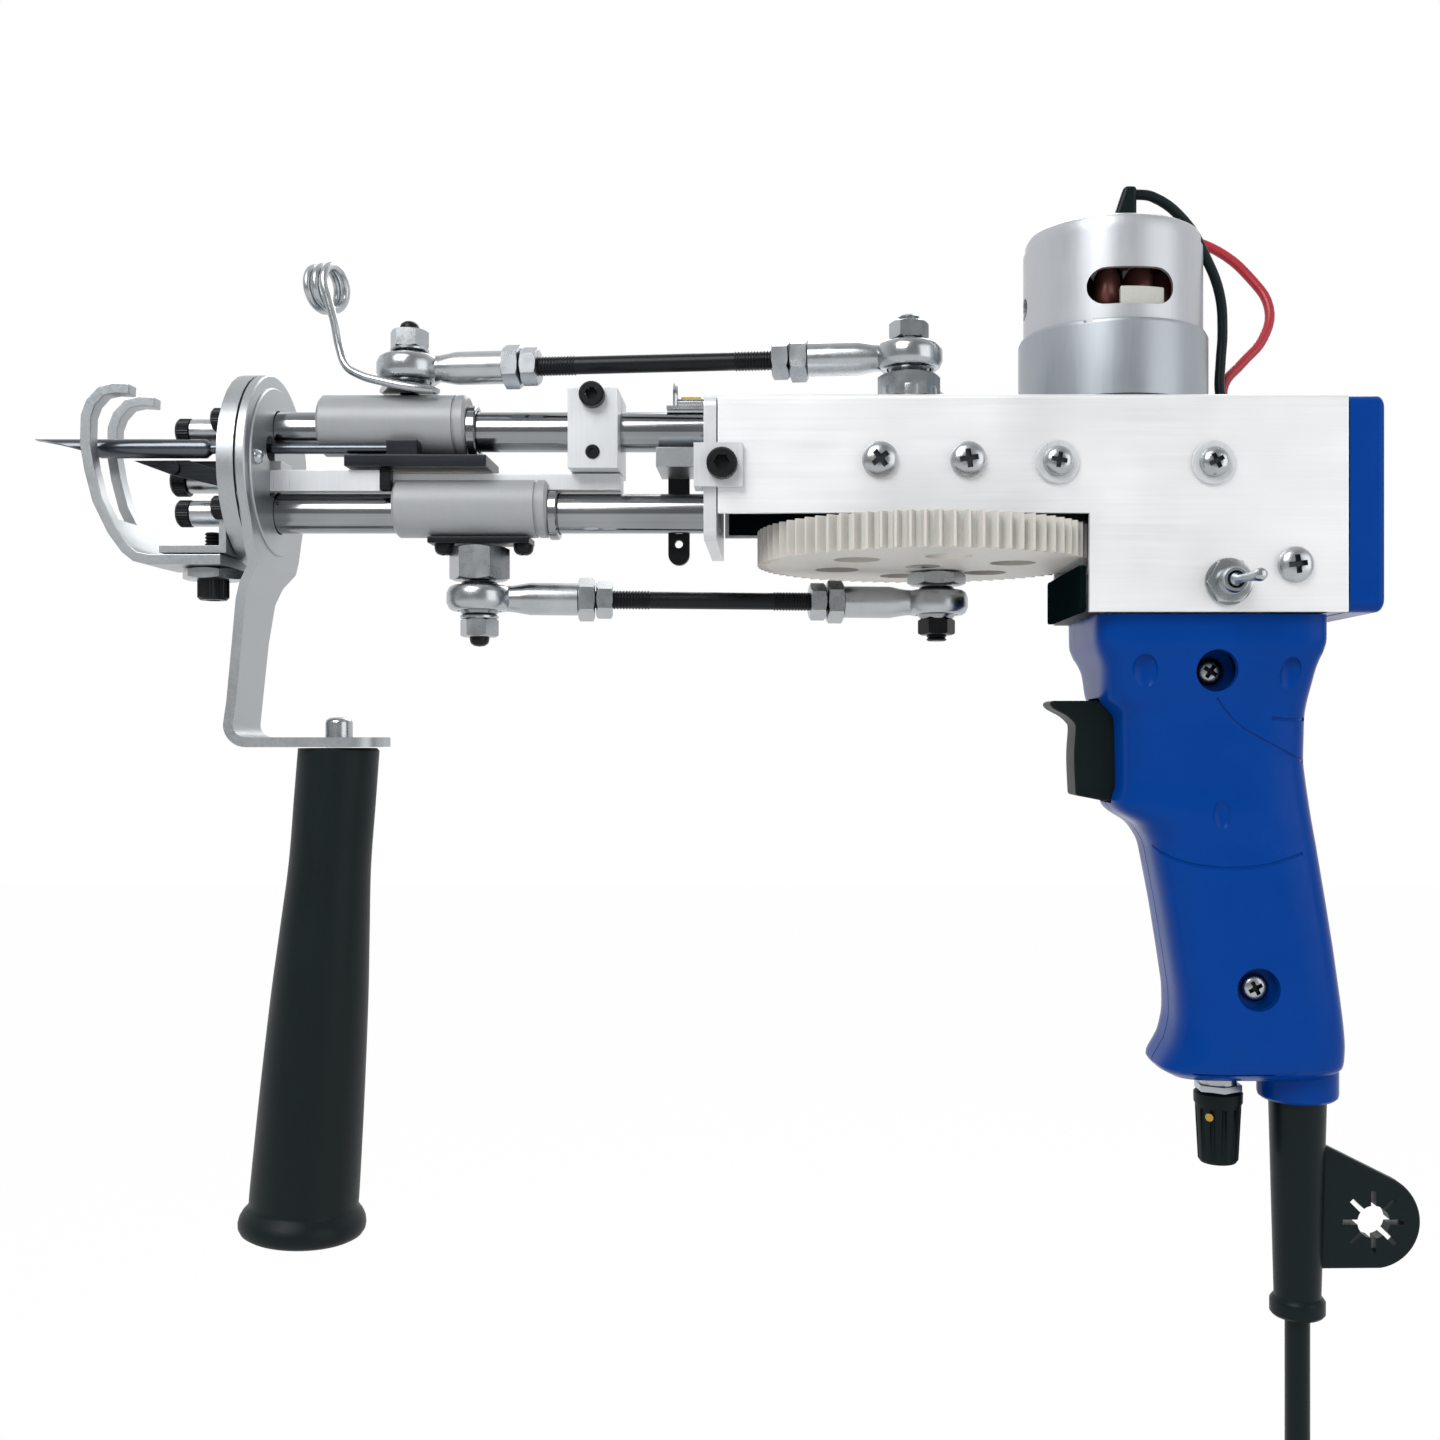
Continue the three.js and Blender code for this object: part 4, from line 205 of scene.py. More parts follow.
# A straight drop out of the guard, then a flat hank of open loops drawn in at its tie, and an in-line socket
lead = {"x": 90.1, "radius": 2.95, "exit": -202.3, "hankTop": -243.9, "run": 79, "fold": 17.8, "pitch": 6.5,
    "waist": 7, "rounds": 4, "stepsPerRound": 24, "length": 1.29, "socketGap": 0.3}
fold, run, pitch = lead["fold"], lead["run"], lead["pitch"]
foldLength = math.pi * fold
roundLength = 2 * (run + foldLength)
hankX = lead["x"] + fold
hankStart = lead["hankTop"] - 2 * lead["radius"] - fold
leadPoints = [(lead["x"], 0, lead["exit"] + (lead["hankTop"] - lead["exit"]) * i / 5) for i in range(6)]
leadTotal = lead["rounds"] * roundLength + run
leadSteps = round(leadTotal / roundLength * lead["stepsPerRound"])


def drawnIn(share):  # how far a strand is drawn to the middle on its way past the tie
    return (fold - lead["waist"] / 2) * (0.5 - 0.5 * math.cos(2 * math.pi * share))


for i in range(leadSteps + 1):
    travelled = leadTotal * i / leadSteps
    turn = math.floor(travelled / roundLength + 1e-4)
    part = travelled - turn * roundLength
    layer = turn * pitch
    share = (part - run - foldLength) / run
    if part <= run:
        place = (hankX - fold + drawnIn(part / run), layer, hankStart - part)
    elif part <= run + foldLength:
        bend = (part - run) / fold
        place = (hankX - fold * math.cos(bend), layer, hankStart - run - fold * math.sin(bend))
    elif share <= 1:
        climb = pitch * (0.5 - 0.5 * math.cos(math.pi * share))
        place = (hankX + fold - drawnIn(share), layer + climb, hankStart - run * (1 - share))
    else:
        bend = (part - 2 * run - foldLength) / fold
        place = (hankX + fold * math.cos(bend), layer + pitch, hankStart + fold * math.sin(bend))
    leadPoints.append(place)
leadEnd = Vector(leadPoints[-1]) - Vector((0, 0, fold + 2 * lead["radius"]))
leadPoints.append(tuple(leadEnd))
powerLead = wirePiece("powerLead", leadPoints, lead["radius"], "softPvc",
    "cord_drop cord_hank", sides=6)

# Tools: shapes in millimetres. A turn carries a shape's own +Z to an axis
turns = {
    "x": Matrix.Rotation(math.pi / 2, 4, "Y"), "-x": Matrix.Rotation(-math.pi / 2, 4, "Y"),
    "y": Matrix.Rotation(-math.pi / 2, 4, "X"), "-y": Matrix.Rotation(math.pi / 2, 4, "X"),
    "z": Matrix.Identity(4), "-z": Matrix.Rotation(math.pi, 4, "X"),
}
facing = {  # carries an outline's own plane to the one across an axis
    "x": Matrix(((0, 0, 1, 0), (1, 0, 0, 0), (0, 1, 0, 0), (0, 0, 0, 1))),
    "y": Matrix(((1, 0, 0, 0), (0, 0, 1, 0), (0, 1, 0, 0), (0, 0, 0, 1))),
    "z": Matrix.Identity(4),
}


def at(axis, x, y, z):
    return Matrix.Translation((x, y, z)) @ turns[axis]


def moved(bm, matrix):
    bmesh.ops.transform(bm, matrix=matrix, verts=bm.verts)
    return bm


def shifted(bm, x, y=0, z=0):
    return moved(bm, Matrix.Translation((x, y, z)))


def placed(bm, axis, x, y, z):
    return moved(bm, at(axis, x, y, z))


def turning(degrees, axis="Z"):
    return Matrix.Rotation(math.radians(degrees), 4, axis)


def bevelled(bm, edges, width, segments, clamp=False):
    bmesh.ops.bevel(bm, geom=edges, offset=width, offset_type="OFFSET", affect="EDGES", segments=segments,
        profile=0.5, material=-1, clamp_overlap=clamp)
    return bm


def merged(bm):
    bmesh.ops.remove_doubles(bm, verts=bm.verts, dist=weld)
    bmesh.ops.recalc_face_normals(bm, faces=bm.faces)
    return bm


def lathe(profile, steps=48):  # turns a profile of (radius, height) round Z
    bm = bmesh.new()
    points = [bm.verts.new((radius, 0, height)) for radius, height in profile]
    lines = [bm.edges.new(pair) for pair in zip(points, points[1:])]
    bmesh.ops.spin(bm, geom=points + lines, cent=(0, 0, 0), axis=(0, 0, 1), dvec=(0, 0, 0), angle=2 * math.pi,
        steps=steps, use_merge=True)
    return merged(bm)


def rod(radius, low, high, chamfer=0.0, steps=48):
    c = chamfer
    if not c:
        return lathe([(0, low), (radius, low), (radius, high), (0, high)], steps)
    return lathe([(0, low), (radius - c, low), (radius, low + c), (radius, high - c), (radius - c, high),
        (0, high)], steps)


def ring(outer, inner, low, high, chamfer=0.2, steps=48):
    c = chamfer
    return lathe([(inner, low), (outer - c, low), (outer, low + c), (outer, high - c), (outer - c, high),
        (inner, high), (inner, low)], steps)


def threaded(radius, low, high, pitch=0.8, depth=0.35, steps=24):
    turnsNeeded = max(1, round((high - low) / pitch))
    rise = (high - low) / turnsNeeded
    profile = [(0, low)]
    for i in range(turnsNeeded):
        profile += [(radius - depth, low + i * rise), (radius, low + (i + 0.45) * rise),
            (radius, low + (i + 0.6) * rise)]
    return lathe(profile + [(radius - depth, high), (0, high)], steps)


def prism(points, low, high, across="z"):  # a flat outline raised from low to high across an axis
    bm = bmesh.new()
    face = bm.faces.new([bm.verts.new((u, v, low)) for u, v in points])
    grown = bmesh.ops.extrude_face_region(bm, geom=[face])
    raised = [g for g in grown["geom"] if isinstance(g, bmesh.types.BMVert)]
    bmesh.ops.translate(bm, verts=raised, vec=(0, 0, high - low))
    moved(bm, facing[across])
    bmesh.ops.recalc_face_normals(bm, faces=bm.faces)
    return bm


def brick(x0, x1, y0, y1, z0, z1):
    bm = bmesh.new()
    bmesh.ops.create_cube(bm, size=1)
    bmesh.ops.scale(bm, vec=(x1 - x0, y1 - y0, z1 - z0), verts=bm.verts)
    bmesh.ops.translate(bm, vec=((x0 + x1) / 2, (y0 + y1) / 2, (z0 + z1) / 2), verts=bm.verts)
    return bm


def add(target, part, finish=0):  # adds and frees a shape, its finishes counted on from the given one
    for face in part.faces:
        face.material_index += finish
    carrier = bpy.data.meshes.new("carrier")
    part.to_mesh(carrier)
    target.from_mesh(carrier)
    bpy.data.meshes.remove(carrier)
    part.free()
    return target


def gather(*parts):  # one shape out of many, each alone or with the number of its finish
    whole = bmesh.new()
    for part in parts:
        add(whole, *(part if isinstance(part, tuple) else [part]))
    return whole


def soften(bm, width, angle=35, segments=2):  # rounds every edge that turns more than the angle
    sharp = [e for e in bm.edges if len(e.link_faces) == 2 and e.calc_face_angle(0) > math.radians(angle)]
    return bevelled(bm, sharp, width, segments, True)


def combine(base, tool, operation):
    held = []
    for bm in (base, tool):
        mesh = bpy.data.meshes.new("held")
        bm.to_mesh(mesh)
        bm.free()
        held.append(bpy.data.objects.new("held", mesh))
        bpy.context.scene.collection.objects.link(held[-1])
    cutter = held[0].modifiers.new("cut", "BOOLEAN")
    cutter.operation = operation
    cutter.solver = "EXACT"
    cutter.object = held[1]
    bpy.context.view_layer.update()
    result = bmesh.new()
    result.from_object(held[0], bpy.context.evaluated_depsgraph_get())
    for item in held:
        mesh = item.data
        bpy.data.objects.remove(item)
        bpy.data.meshes.remove(mesh)
    return result


def carve(base, *tools):
    for tool in tools:
        base = combine(base, tool, "DIFFERENCE")
    return base


def unite(base, *tools):
    for tool in tools:
        base = combine(base, tool, "UNION")
    return base


def arc(radius, steps, u=0.0, v=0.0, start=0.0, sweep=360.0):
    count = steps if sweep == 360 else steps + 1
    angles = [math.radians(start + sweep * i / steps) for i in range(count)]
    return [(u + radius * math.cos(a), v + radius * math.sin(a)) for a in angles]


def roundedBox(u0, u1, v0, v1, radius, steps=6):
    corners = ((u1 - radius, v0 + radius, -90), (u1 - radius, v1 - radius, 0), (u0 + radius, v1 - radius, 90),
        (u0 + radius, v0 + radius, 180))
    return [p for u, v, start in corners for p in arc(radius, steps, u, v, start, 90)]


def smoothLine(points, steps=6):  # a Catmull-Rom line through points
    ends = [Vector(point) for point in points]
    ends = [ends[0] * 2 - ends[1], *ends, ends[-1] * 2 - ends[-2]]
    line = []
    for a, b, c, d in zip(ends, ends[1:], ends[2:], ends[3:]):
        for i in range(steps):
            t = i / steps
            line.append(0.5 * (2 * b + (c - a) * t + (2 * a - 5 * b + 4 * c - d) * t * t
                + (3 * b - a - 3 * c + d) * t * t * t))
    return line + [ends[-2]]


def newPiece(name, bm, finishNames, hides="", body="frame", sharp=38):
    bmesh.ops.remove_doubles(bm, verts=bm.verts, dist=weld)
    bmesh.ops.translate(bm, vec=origin, verts=bm.verts)
    bmesh.ops.scale(bm, vec=(mm, mm, mm), verts=bm.verts)
    for face in bm.faces:
        face.smooth = True
    for edge in bm.edges:
        edge.smooth = len(edge.link_faces) != 2 or edge.calc_face_angle(0) < math.radians(sharp)
    mesh = bpy.data.meshes.new(name)
    bm.to_mesh(mesh)
    bm.free()
    piece = placePiece(name, mesh, finishNames, hides, body)
    even = piece.modifiers.new("evenShading", "WEIGHTED_NORMAL")
    even.keep_sharp = True
    return piece


def refined(node, finishNames, width=0.25, angle=40, where=None, body="frame"):
    # a CAD solid's own shape with softened edges, and a second finish where the given test holds
    bm = bmesh.new()
    bm.from_mesh(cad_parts[node].data)
    bmesh.ops.remove_doubles(bm, verts=bm.verts, dist=weld * mm * 5)
    bmesh.ops.scale(bm, vec=(1 / mm, 1 / mm, 1 / mm), verts=bm.verts)
    bmesh.ops.translate(bm, vec=-origin, verts=bm.verts)
    bmesh.ops.dissolve_limit(bm, angle_limit=math.radians(1.5), verts=bm.verts, edges=bm.edges)
    if width:
        soften(bm, width, angle)
    for face in bm.faces:
        face.material_index = 1 if where and where(face.calc_center_median()) else 0
    words = node.split("_")
    name = words[0] + "".join(word.capitalize() for word in words[1:]) + "Finished"
    return newPiece(name, bm, finishNames, node, body)


def painted(node, finishName):  # a CAD solid that is well hidden keeps its shape and takes a finish
    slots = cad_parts[node].data.materials
    slots.clear()
    slots.append(finishes[finishName])


# Fasteners, each standing on z 0
def hexNut(flats, height, hole=0.0, chamfer=0.35):
    reach = flats / math.sqrt(3)
    crown = lathe([(0, 0), (flats / 2 - 0.1, 0), (reach, chamfer), (reach, height - chamfer),
        (flats / 2 - 0.1, height), (0, height)], 36)
    nut = combine(prism(arc(reach, 6), -0.5, height + 0.5), crown, "INTERSECT")
    return carve(nut, rod(hole, -1, height + 1, 0, 24)) if hole else nut


def panHead(radius, height):  # a pan head with a cross recess
    dome = lathe([(0, 0), (radius, 0), (radius, height * 0.3), (radius * 0.93, height * 0.62),
        (radius * 0.72, height * 0.88), (radius * 0.4, height * 0.99), (0, height)], 40)
    arm, width, floor = radius * 0.52, radius * 0.15, height * 0.25
    point = lathe([(0, floor - 0.3), (width * 1.7, height), (width * 1.7, height * 2), (0, height * 2)], 16)
    head = carve(dome, brick(-arm, arm, -width, width, floor, height * 2),
        brick(-width, width, -arm, arm, floor, height * 2), point)
    for face in head.faces:  # the recess takes the next finish, which on the plated screws is darker: painted shade
        middle = face.calc_center_median()
        inside = math.hypot(middle.x, middle.y) < arm * 1.02 and 0.05 < middle.z < height * 0.9
        face.material_index = 1 if inside else 0
    return head


def socketHead(radius, height, key=0.52):  # a cap screw's knurled head with its hex socket
    knurl = []
    for i in range(64):
        reach = radius * (1 if i % 2 else 0.96)
        knurl.append((reach * math.cos(i * math.pi / 32), reach * math.sin(i * math.pi / 32)))
    crown = lathe([(0, 0), (radius * 1.02, 0), (radius * 1.02, height - radius * 0.2),
        (radius * 0.84, height), (0, height)], 40)
    head = combine(prism(knurl, -0.5, height + 0.5), crown, "INTERSECT")
    return carve(head, prism(arc(radius * key, 6), height * 0.35, height * 2))


print("housing")
housing = {"front": -48.5, "rear": 93.9, "step": 35.4, "half": 23, "top": 14.1, "low": -12.9,
    "rearLow": -35.2, "wall": 1.5, "corner": 1.2, "canX": 45.5, "canBore": 21.45, "shaftBore": 5.5,
    "leadX": 72.95, "leadBore": 4.5, "toggleX": 66.7, "toggleZ": -28.5, "toggleBore": 3.05}
front, rear, step, top = [housing[key] for key in ("front", "rear", "step", "top")]
half, low, rearLow, wall = [housing[key] for key in ("half", "low", "rearLow", "wall")]
channel = prism([(front, low), (step, low), (step, rearLow), (rear, rearLow), (rear, top), (front, top)],
    -half, half, "y")
topEdges = [e for e in channel.edges if all(v.co.z > top - 0.01 for v in e.verts)
    and abs(e.verts[0].co.y - e.verts[1].co.y) < 0.01]
bevelled(channel, topEdges, housing["corner"], 4)
channel = carve(channel, brick(front - 1, rear + 1, wall - half, half - wall, -40, top - wall),
    shifted(rod(housing["canBore"], 0, 20, 0, 96), housing["canX"]), rod(housing["shaftBore"], 0, 20, 0, 48),
    shifted(rod(housing["leadBore"], 0, 20, 0, 40), housing["leadX"]),
    placed(rod(housing["toggleBore"], 0, 30, 0, 32), "-y", housing["toggleX"], 0, housing["toggleZ"]))
newPiece("housingFolded", soften(channel, 0.2, 60), "brushedAluminium",
    "housing_channel")
# A black sheet on the far wall, seen past the front end plate: painted shade where that wall lies in shadow
newPiece("farWallShadowSheet", brick(-47.5, 33, 21.22, 21.45, -12.2, 12), "shadowBlackAbs")
refined("front_end_plate", "milledAluminium", 0.4)
cap = {"front": 94.2, "rear": 102.4, "half": 23, "low": -35.2, "high": 14.1, "corner": 3, "edge": 1.6}
capShell = prism(roundedBox(-cap["half"], cap["half"], cap["low"], cap["high"], cap["corner"]), cap["front"],
    cap["rear"], "x")
rim = [e for e in capShell.edges if all(v.co.x > cap["rear"] - 0.1 for v in e.verts)]
bevelled(capShell, rim, cap["edge"], 4)
capPlug = brick(90.2, 94.4, -21.1, 21.1, -35.1, 12.2)
newPiece("rearCapMoulded", unite(capShell, soften(capPlug, 0.3)), "glossAbs", "rear_cap")

clip = {"x0": -53.8, "x1": -42.8, "low": -7.2, "high": 2.6, "side": -23.3, "thick": 1.8, "lip": 5.5,
    "screwX": -47.4}
x0, x1, low, high = [clip[key] for key in ("x0", "x1", "low", "high")]
side, thick = clip["side"], clip["thick"]
clipLeg = brick(x0, x1, side - thick, side, low, high)
clipLip = brick(x0, x0 + thick, side - thick / 2, side + clip["lip"], low, high)
newPiece("angleClipBent", soften(unite(clipLeg, clipLip), 0.4), "milledAluminium", "angle_clip")
clipScrew = placed(socketHead(3.5, 3.2), "-y", clip["screwX"], side - thick, (low + high) / 2)
newPiece("clipScrew", clipScrew, "blackOxide")

# Screws on the housing's sides: place, head radius and washer radius
sideScrews = ((-11.9, -0.9, 4.05, 0), (8.0, -0.9, 4.05, 0), (81.8, -24.6, 4.05, 0), (28.1, -1.4, 3.4, 4.95),
    (63.3, -1.6, 3.4, 4.95))
bothSides = ((-1, "-y"), (1, "y"))
for side, way in bothSides:
    whole = bmesh.new()
    for x, z, head, washer in sideScrews:
        stand = 0.0
        if washer:
            add(whole, placed(ring(washer, head * 0.5, 0, 0.9, 0.2), way, x, side * 23.02, z), 2)
            stand = 0.85
        turned = at(way, x, side * (23.02 + stand), z) @ Matrix.Rotation(x, 4, "Z")
        add(whole, moved(panHead(head, 2.3), turned))
    # the second finish, a darker steel, is painted shade in the cross recesses
    newPiece("sideScrewsNear" if side < 0 else "sideScrewsFar", whole,
        "zincPlate needleSteel milledAluminium")
# A black sheet in the housing's open step, above the grip: painted shade where the open interior lies in
# shadow
newPiece("stepShadowSheet", soften(prism(roundedBox(-21.2, 21.2, -35.0, -24.4, 1), 33.6, 35.0, "x"), 0.2),
    "shadowBlackAbs")

print("motor")
motor = {"x": housing["canX"], "radius": 21.15, "wall": 1.2, "low": -9.6, "top": 52.4, "crown": 56.2,
    "slotLow": 35.0, "slotHigh": 43.4, "slotHalf": 9.9, "bandBore": 21.35, "bandRadius": 22.35,
    "bandLow": 14.4, "bandHigh": 31.7}
outer, inner = motor["radius"], motor["radius"] - motor["wall"]
canShell = lathe([(inner, motor["low"]), (outer, motor["low"]), (outer, motor["top"]), (inner, motor["top"]),
    (inner, motor["low"])], 96)
slots = [prism(roundedBox(-motor["slotHalf"], motor["slotHalf"], motor["slotLow"], motor["slotHigh"], 4.1, 8),
    *span, "y") for span in ((-30, -8), (8, 30))]
smallSlots = [prism(roundedBox(-3, 3, 36.7, 41.7, 2.4), *span, "x") for span in ((-30, -15), (15, 30))]
canShell = carve(canShell, *slots, *smallSlots)
soften(canShell, 0.25, 50)
newPiece("motorCanDrawn", shifted(canShell, motor["x"]), "silverLacquer", "motor_can")
magnets = gather(*[prism(arc(19.8, 12, 0, 0, a, 31) + arc(17.4, 12, 0, 0, a + 31, -31), -6, 39.4)
    for a in (263, 83)])
newPiece("motorMagnets", shifted(soften(magnets, 0.3), motor["x"]), "sinteredFerrite")
inner, outer, low, high = [motor[key] for key in ("bandBore", "bandRadius", "bandLow", "bandHigh")]
band = lathe([(inner, low), (outer, low), (outer, high - 1), (outer - 0.5, high), (inner, high),
    (inner, low)], 96)
band = carve(band, moved(brick(-0.9, 0.9, -30, -15, 30.9, 60), turning(-26)))
newPiece("fluxBandRolled", shifted(band, motor["x"]), "rolledSteel", "flux_ring")
c = motor["crown"]
bell = lathe([(0, 50), (19.8, 50), (19.8, 52.45), (20.75, 52.45), (20.75, c - 1.8), (20.3, c - 0.7),
    (19.2, c - 0.1), (17.6, c), (12, c), (11.4, c - 0.5), (9.6, c - 0.5), (8.9, c), (8.75, c + 1.7),
    (8.2, c + 2.2), (4, c + 2.2), (3.6, c + 1.2), (0, c + 1.2)], 96)
dimples = [shifted(rod(1.5, -1, 3, 0, 20), 14.4 * math.cos(a), 14.4 * math.sin(a), c - 0.8)
    for a in (0.4, math.pi + 0.4)]
newPiece("motorCrown", shifted(carve(bell, *dimples), motor["x"]), "silverLacquer",
    "motor_end_bell")
boots = bmesh.new()
for side in (-1, 1):
    boot = brick(-3.1, 2.9, -1.6, 1.6, c - 1, c + 8.3)
    for v in boot.verts:
        v.co.x += 3.1 if v.co.z > c + 5 and v.co.x < 0 else 0
    bmesh.ops.subdivide_edges(boot, edges=boot.edges, cuts=2, use_grid_fill=True)
    soften(boot, 0.9, 35, 4)
    add(boots, shifted(boot, motor["x"], side * 11.95))
newPiece("terminalBoots", boots, "softPvc")
rotor = gather(rod(17, 4, 36, 0.5, 60))
for i in range(10):
    a = 2 * math.pi * i / 10
    coil = lathe([(0, 36), (2.3, 36), (3.2, 38), (3.0, 43.6), (2.0, 45.5), (0, 45.8)], 14)
    bmesh.ops.scale(coil, vec=(1.6, 1, 1), verts=coil.verts)
    add(rotor, moved(coil, Matrix.Rotation(a, 4, "Z") @ Matrix.Translation((11.5, 0, 0))), 1)
    add(rotor, moved(brick(12.4, 13.6, -1, 1, 45, 50), Matrix.Rotation(a + 0.3, 4, "Z")), 1)
add(rotor, rod(2.5, -23.7, 56, 0.3, 24), 2)
newPiece("motorRotorWound", shifted(rotor, motor["x"]), "rolledSteel enamelCopper groundSteel",
    "motor_armature", body="motor_rotor")

# Leads from the boots round the motor and down into the housing's hole, as given points
leadRoutes = {
    "motorLeadBlack": ("softPvc", "black_rubber", "motor_lead_black", (
        (47.4, -11.95, 62.7), (49.0, -11.95, 62.8), (52.4, -11.6, 62.4), (60.4, -9.2, 57.6),
        (66.8, -4.6, 50.4), (70.6, -2.6, 42.4), (71.6, -1.6, 33.8), (71.2, -1.4, 26.2),
        (70.9, -1.7, 19.6), (71.8, -2, 14.6), (72.2, -2, 10.4))),
    "motorLeadRed": ("redPvc", "red_insulation", "motor_lead_red", (
        (47.4, 11.95, 62.7), (49.0, 11.95, 62.8), (56, 12.1, 62.6), (65, 12.4, 60.8), (74.6, 12.6, 57.4),
        (82.2, 11.4, 50.4), (86.2, 9.2, 42.4), (84, 6.8, 34.2), (78, 4.8, 27.4), (73.4, 3.2, 22),
        (72.9, 2.3, 16.4), (73.2, 2, 10.4))),
}
for name, (finishName, slotName, node, route) in leadRoutes.items():
    wirePiece(name, route, 1.2, finishName, node)
grommet = lathe([(3.5, -1), (4.4, -1), (4.4, 0.1), (5.4, 0.1), (5.6, 0.5), (5.3, 1.1), (3.9, 1.3), (3.5, 0.6),
    (3.5, -1)], 32)
newPiece("leadGrommet", shifted(grommet, housing["leadX"], 0, housing["top"]), "softPvc")

print("gear and crank")
refined("drive_gear", "mouldedNylon", 0.12, 35, body="crank")
refined("motor_pinion", "zincPlate", 0.1, 35, body="motor_rotor")
refined("crank_shaft", "groundSteel", 0.2, body="crank")
refined("motor_mount_plate", "satinZinc", 0.3)
painted("bearing_block", "mattAbs")
painted("upper_bearing", "zincPlate")
painted("lower_bearing", "zincPlate")
crank = {"turn": 250, "reach": 13, "end": 6.5, "low": 14.7, "high": 17.6}
pinTurn = math.radians(crank["turn"])
pinX, pinY = crank["reach"] * math.cos(pinTurn), crank["reach"] * math.sin(pinTurn)
pins = {"upper": (pinX, pinY), "lower": (-pinX, -pinY)}
armOutline = arc(crank["end"], 20, 0, 0, 90, 180) + arc(crank["end"], 20, crank["reach"], 0, -90, 180)
arm = soften(prism(armOutline, crank["low"], crank["high"]), 0.4, 50)
arm = carve(arm, rod(4.3, 10, 17.3, 0, 32), shifted(rod(2.2, 10, 20, 0, 24), 4.2, -9))
crankArm = gather(moved(arm, Matrix.Rotation(pinTurn, 4, "Z")),
    shifted(hexNut(12.6, 5.9, 0, 0.5), *pins["upper"], crank["low"]),
    (shifted(socketHead(3.4, 2.6), 0, 0, 17.3), 1))
newPiece("crankArmMachined", crankArm, "zincPlate blackOxide", "upper_crank_arm", body="crank")
newPiece("lowerCrankSpacer", shifted(hexNut(12.6, 3.1, 0, 0.5), *pins["lower"], -25.9), "zincPlate",
    "lower_crank_pin", body="crank")

print("slides")
guides = {"radius": 4.75, "front": -159.7, "rear": -48.8, "sleeve": 7.3, "bore": 5.05, "raise": 1.5,
    "upper": 9.8, "lower": -9.8}
for level in ("upper", "lower"):
    guide = placed(rod(guides["radius"], guides["front"], guides["rear"], 0.6, 64), "x", 0, 0, guides[level])
    newPiece(level + "GuideRodGround", guide, "groundSteel", level + "_guide_rod")
for level, front, length, body in (("upper", -144.4, 37.5, "needle_slide"),
    ("lower", -126.5, 39.0, "scissor_slide")):
    rodZ = guides[level]
    end = front + length
    middle = at("x", 0, 0, rodZ + guides["raise"])
    bush = moved(rod(guides["sleeve"], front, end - 2.2, 0.7, 72), middle)
    bush = carve(bush, placed(rod(guides["bore"], front - 1, end + 1, 0, 48), "x", 0, 0, rodZ),
        moved(ring(9, 6.9, end - 5.4, end - 4.6, 0), middle))
    if body == "scissor_slide":
        bush = carve(bush, brick(front - 1, end + 1, -4.3, 4.3, -5, 6))
    else:
        bush = carve(bush, *[placed(rod(1.3, 5, 9, 0, 20), "z", front + x, 0, rodZ) for x in (9.4, 28.6)])
    add(bush, placed(ring(6.3, guides["bore"], end - 2.3, end, 0.3, 64), "x", 0, 0, rodZ), 1)
    newPiece(level + "SleeveTurned", bush, "turnedAcetal groundSteel", level + "_slider_sleeve",
        body=body)
carrierBlade = soften(brick(-136.9, -103.5, -9.1, 7.5, 0.1, 2.9), 0.3)
add(carrierBlade, soften(brick(-127, -119.6, -9.0, -4.4, 2.2, 6.4), 0.3))
newPiece("needleCarrierPlate", carrierBlade, "oiledSteel", "needle_carrier",
    body="needle_slide")
# The scissor slide's carrier: a thin plate under the sleeve, and before it a lug that holds the blade's strip
carrierPlate = soften(brick(-118.5, -94.2, -4.2, 4.2, -17.3, -15.7), 0.3)
add(carrierPlate, soften(brick(-129.4, -126.6, -6.9, -3.4, -5, 0), 0.25))
newPiece("scissorCarrierPlate", carrierPlate, "blackOxide", "scissor_carrier",
    body="scissor_slide")

needle = {"y": -6.6, "z": 4.6, "radius": 2.25, "bore": 1.7, "tip": -210.1, "end": -168.6, "bar": 1.2,
    "tail": -120.5}
bore, radius, tip, end, bar = [needle[key] for key in ("bore", "radius", "tip", "end", "bar")]
along = at("x", 0, needle["y"], needle["z"])
tube = moved(lathe([(bore, tip), (radius, tip), (radius, end - 1.4), (bar, end), (0, end), (0, end - 4),
    (bore, end - 6), (bore, tip)], 48), along)
slant = smoothLine([(tip - 2, 2.05), (tip + 1.5, 1.75), (tip + 6, 0.9), (tip + 10.5, -0.3), (tip + 14, -1.6),
    (tip + 16.4, -3.0)], 6)
slantTool = prism([(x, z + needle["z"]) for x, z in slant] + [(tip - 2, needle["z"] - 3)], -12, 0, "y")
tube = add(carve(tube, slantTool), moved(rod(bar, end - 1, needle["tail"], 0.1, 24), along))
newPiece("needleGround", tube, "needleSteel", "needle", body="needle_slide")
refined("fixed_blade", "oiledSteel", 0.12, body="scissor_slide")
newPiece("bladeStrip", soften(brick(-156.8, -129, -6.95, -4.4, -5.4, -0.4), 0.15), "milledAluminium",
    body="scissor_slide")
refined("moving_blade", "oiledSteel", 0.12, body="cutting_blade")

eyeWire = {"radius": 1, "centreX": -141.1, "height": 44.7, "tilt": 21, "coil": 5, "pitch": 2.4, "turns": 2.2}
tilt = math.radians(eyeWire["tilt"])
eyeAlong = Vector((-math.cos(tilt), math.sin(tilt), 0))
eyeNear = Vector((-math.sin(tilt), -math.cos(tilt), 0))
eyeCentre = Vector((eyeWire["centreX"], 0, eyeWire["height"]))


def eyeTurn(turned):
    a = 2 * math.pi * turned
    return (eyeCentre + eyeAlong * turned * eyeWire["pitch"] + eyeNear * eyeWire["coil"] * math.cos(a)
        + Vector((0, 0, eyeWire["coil"] * math.sin(a))))


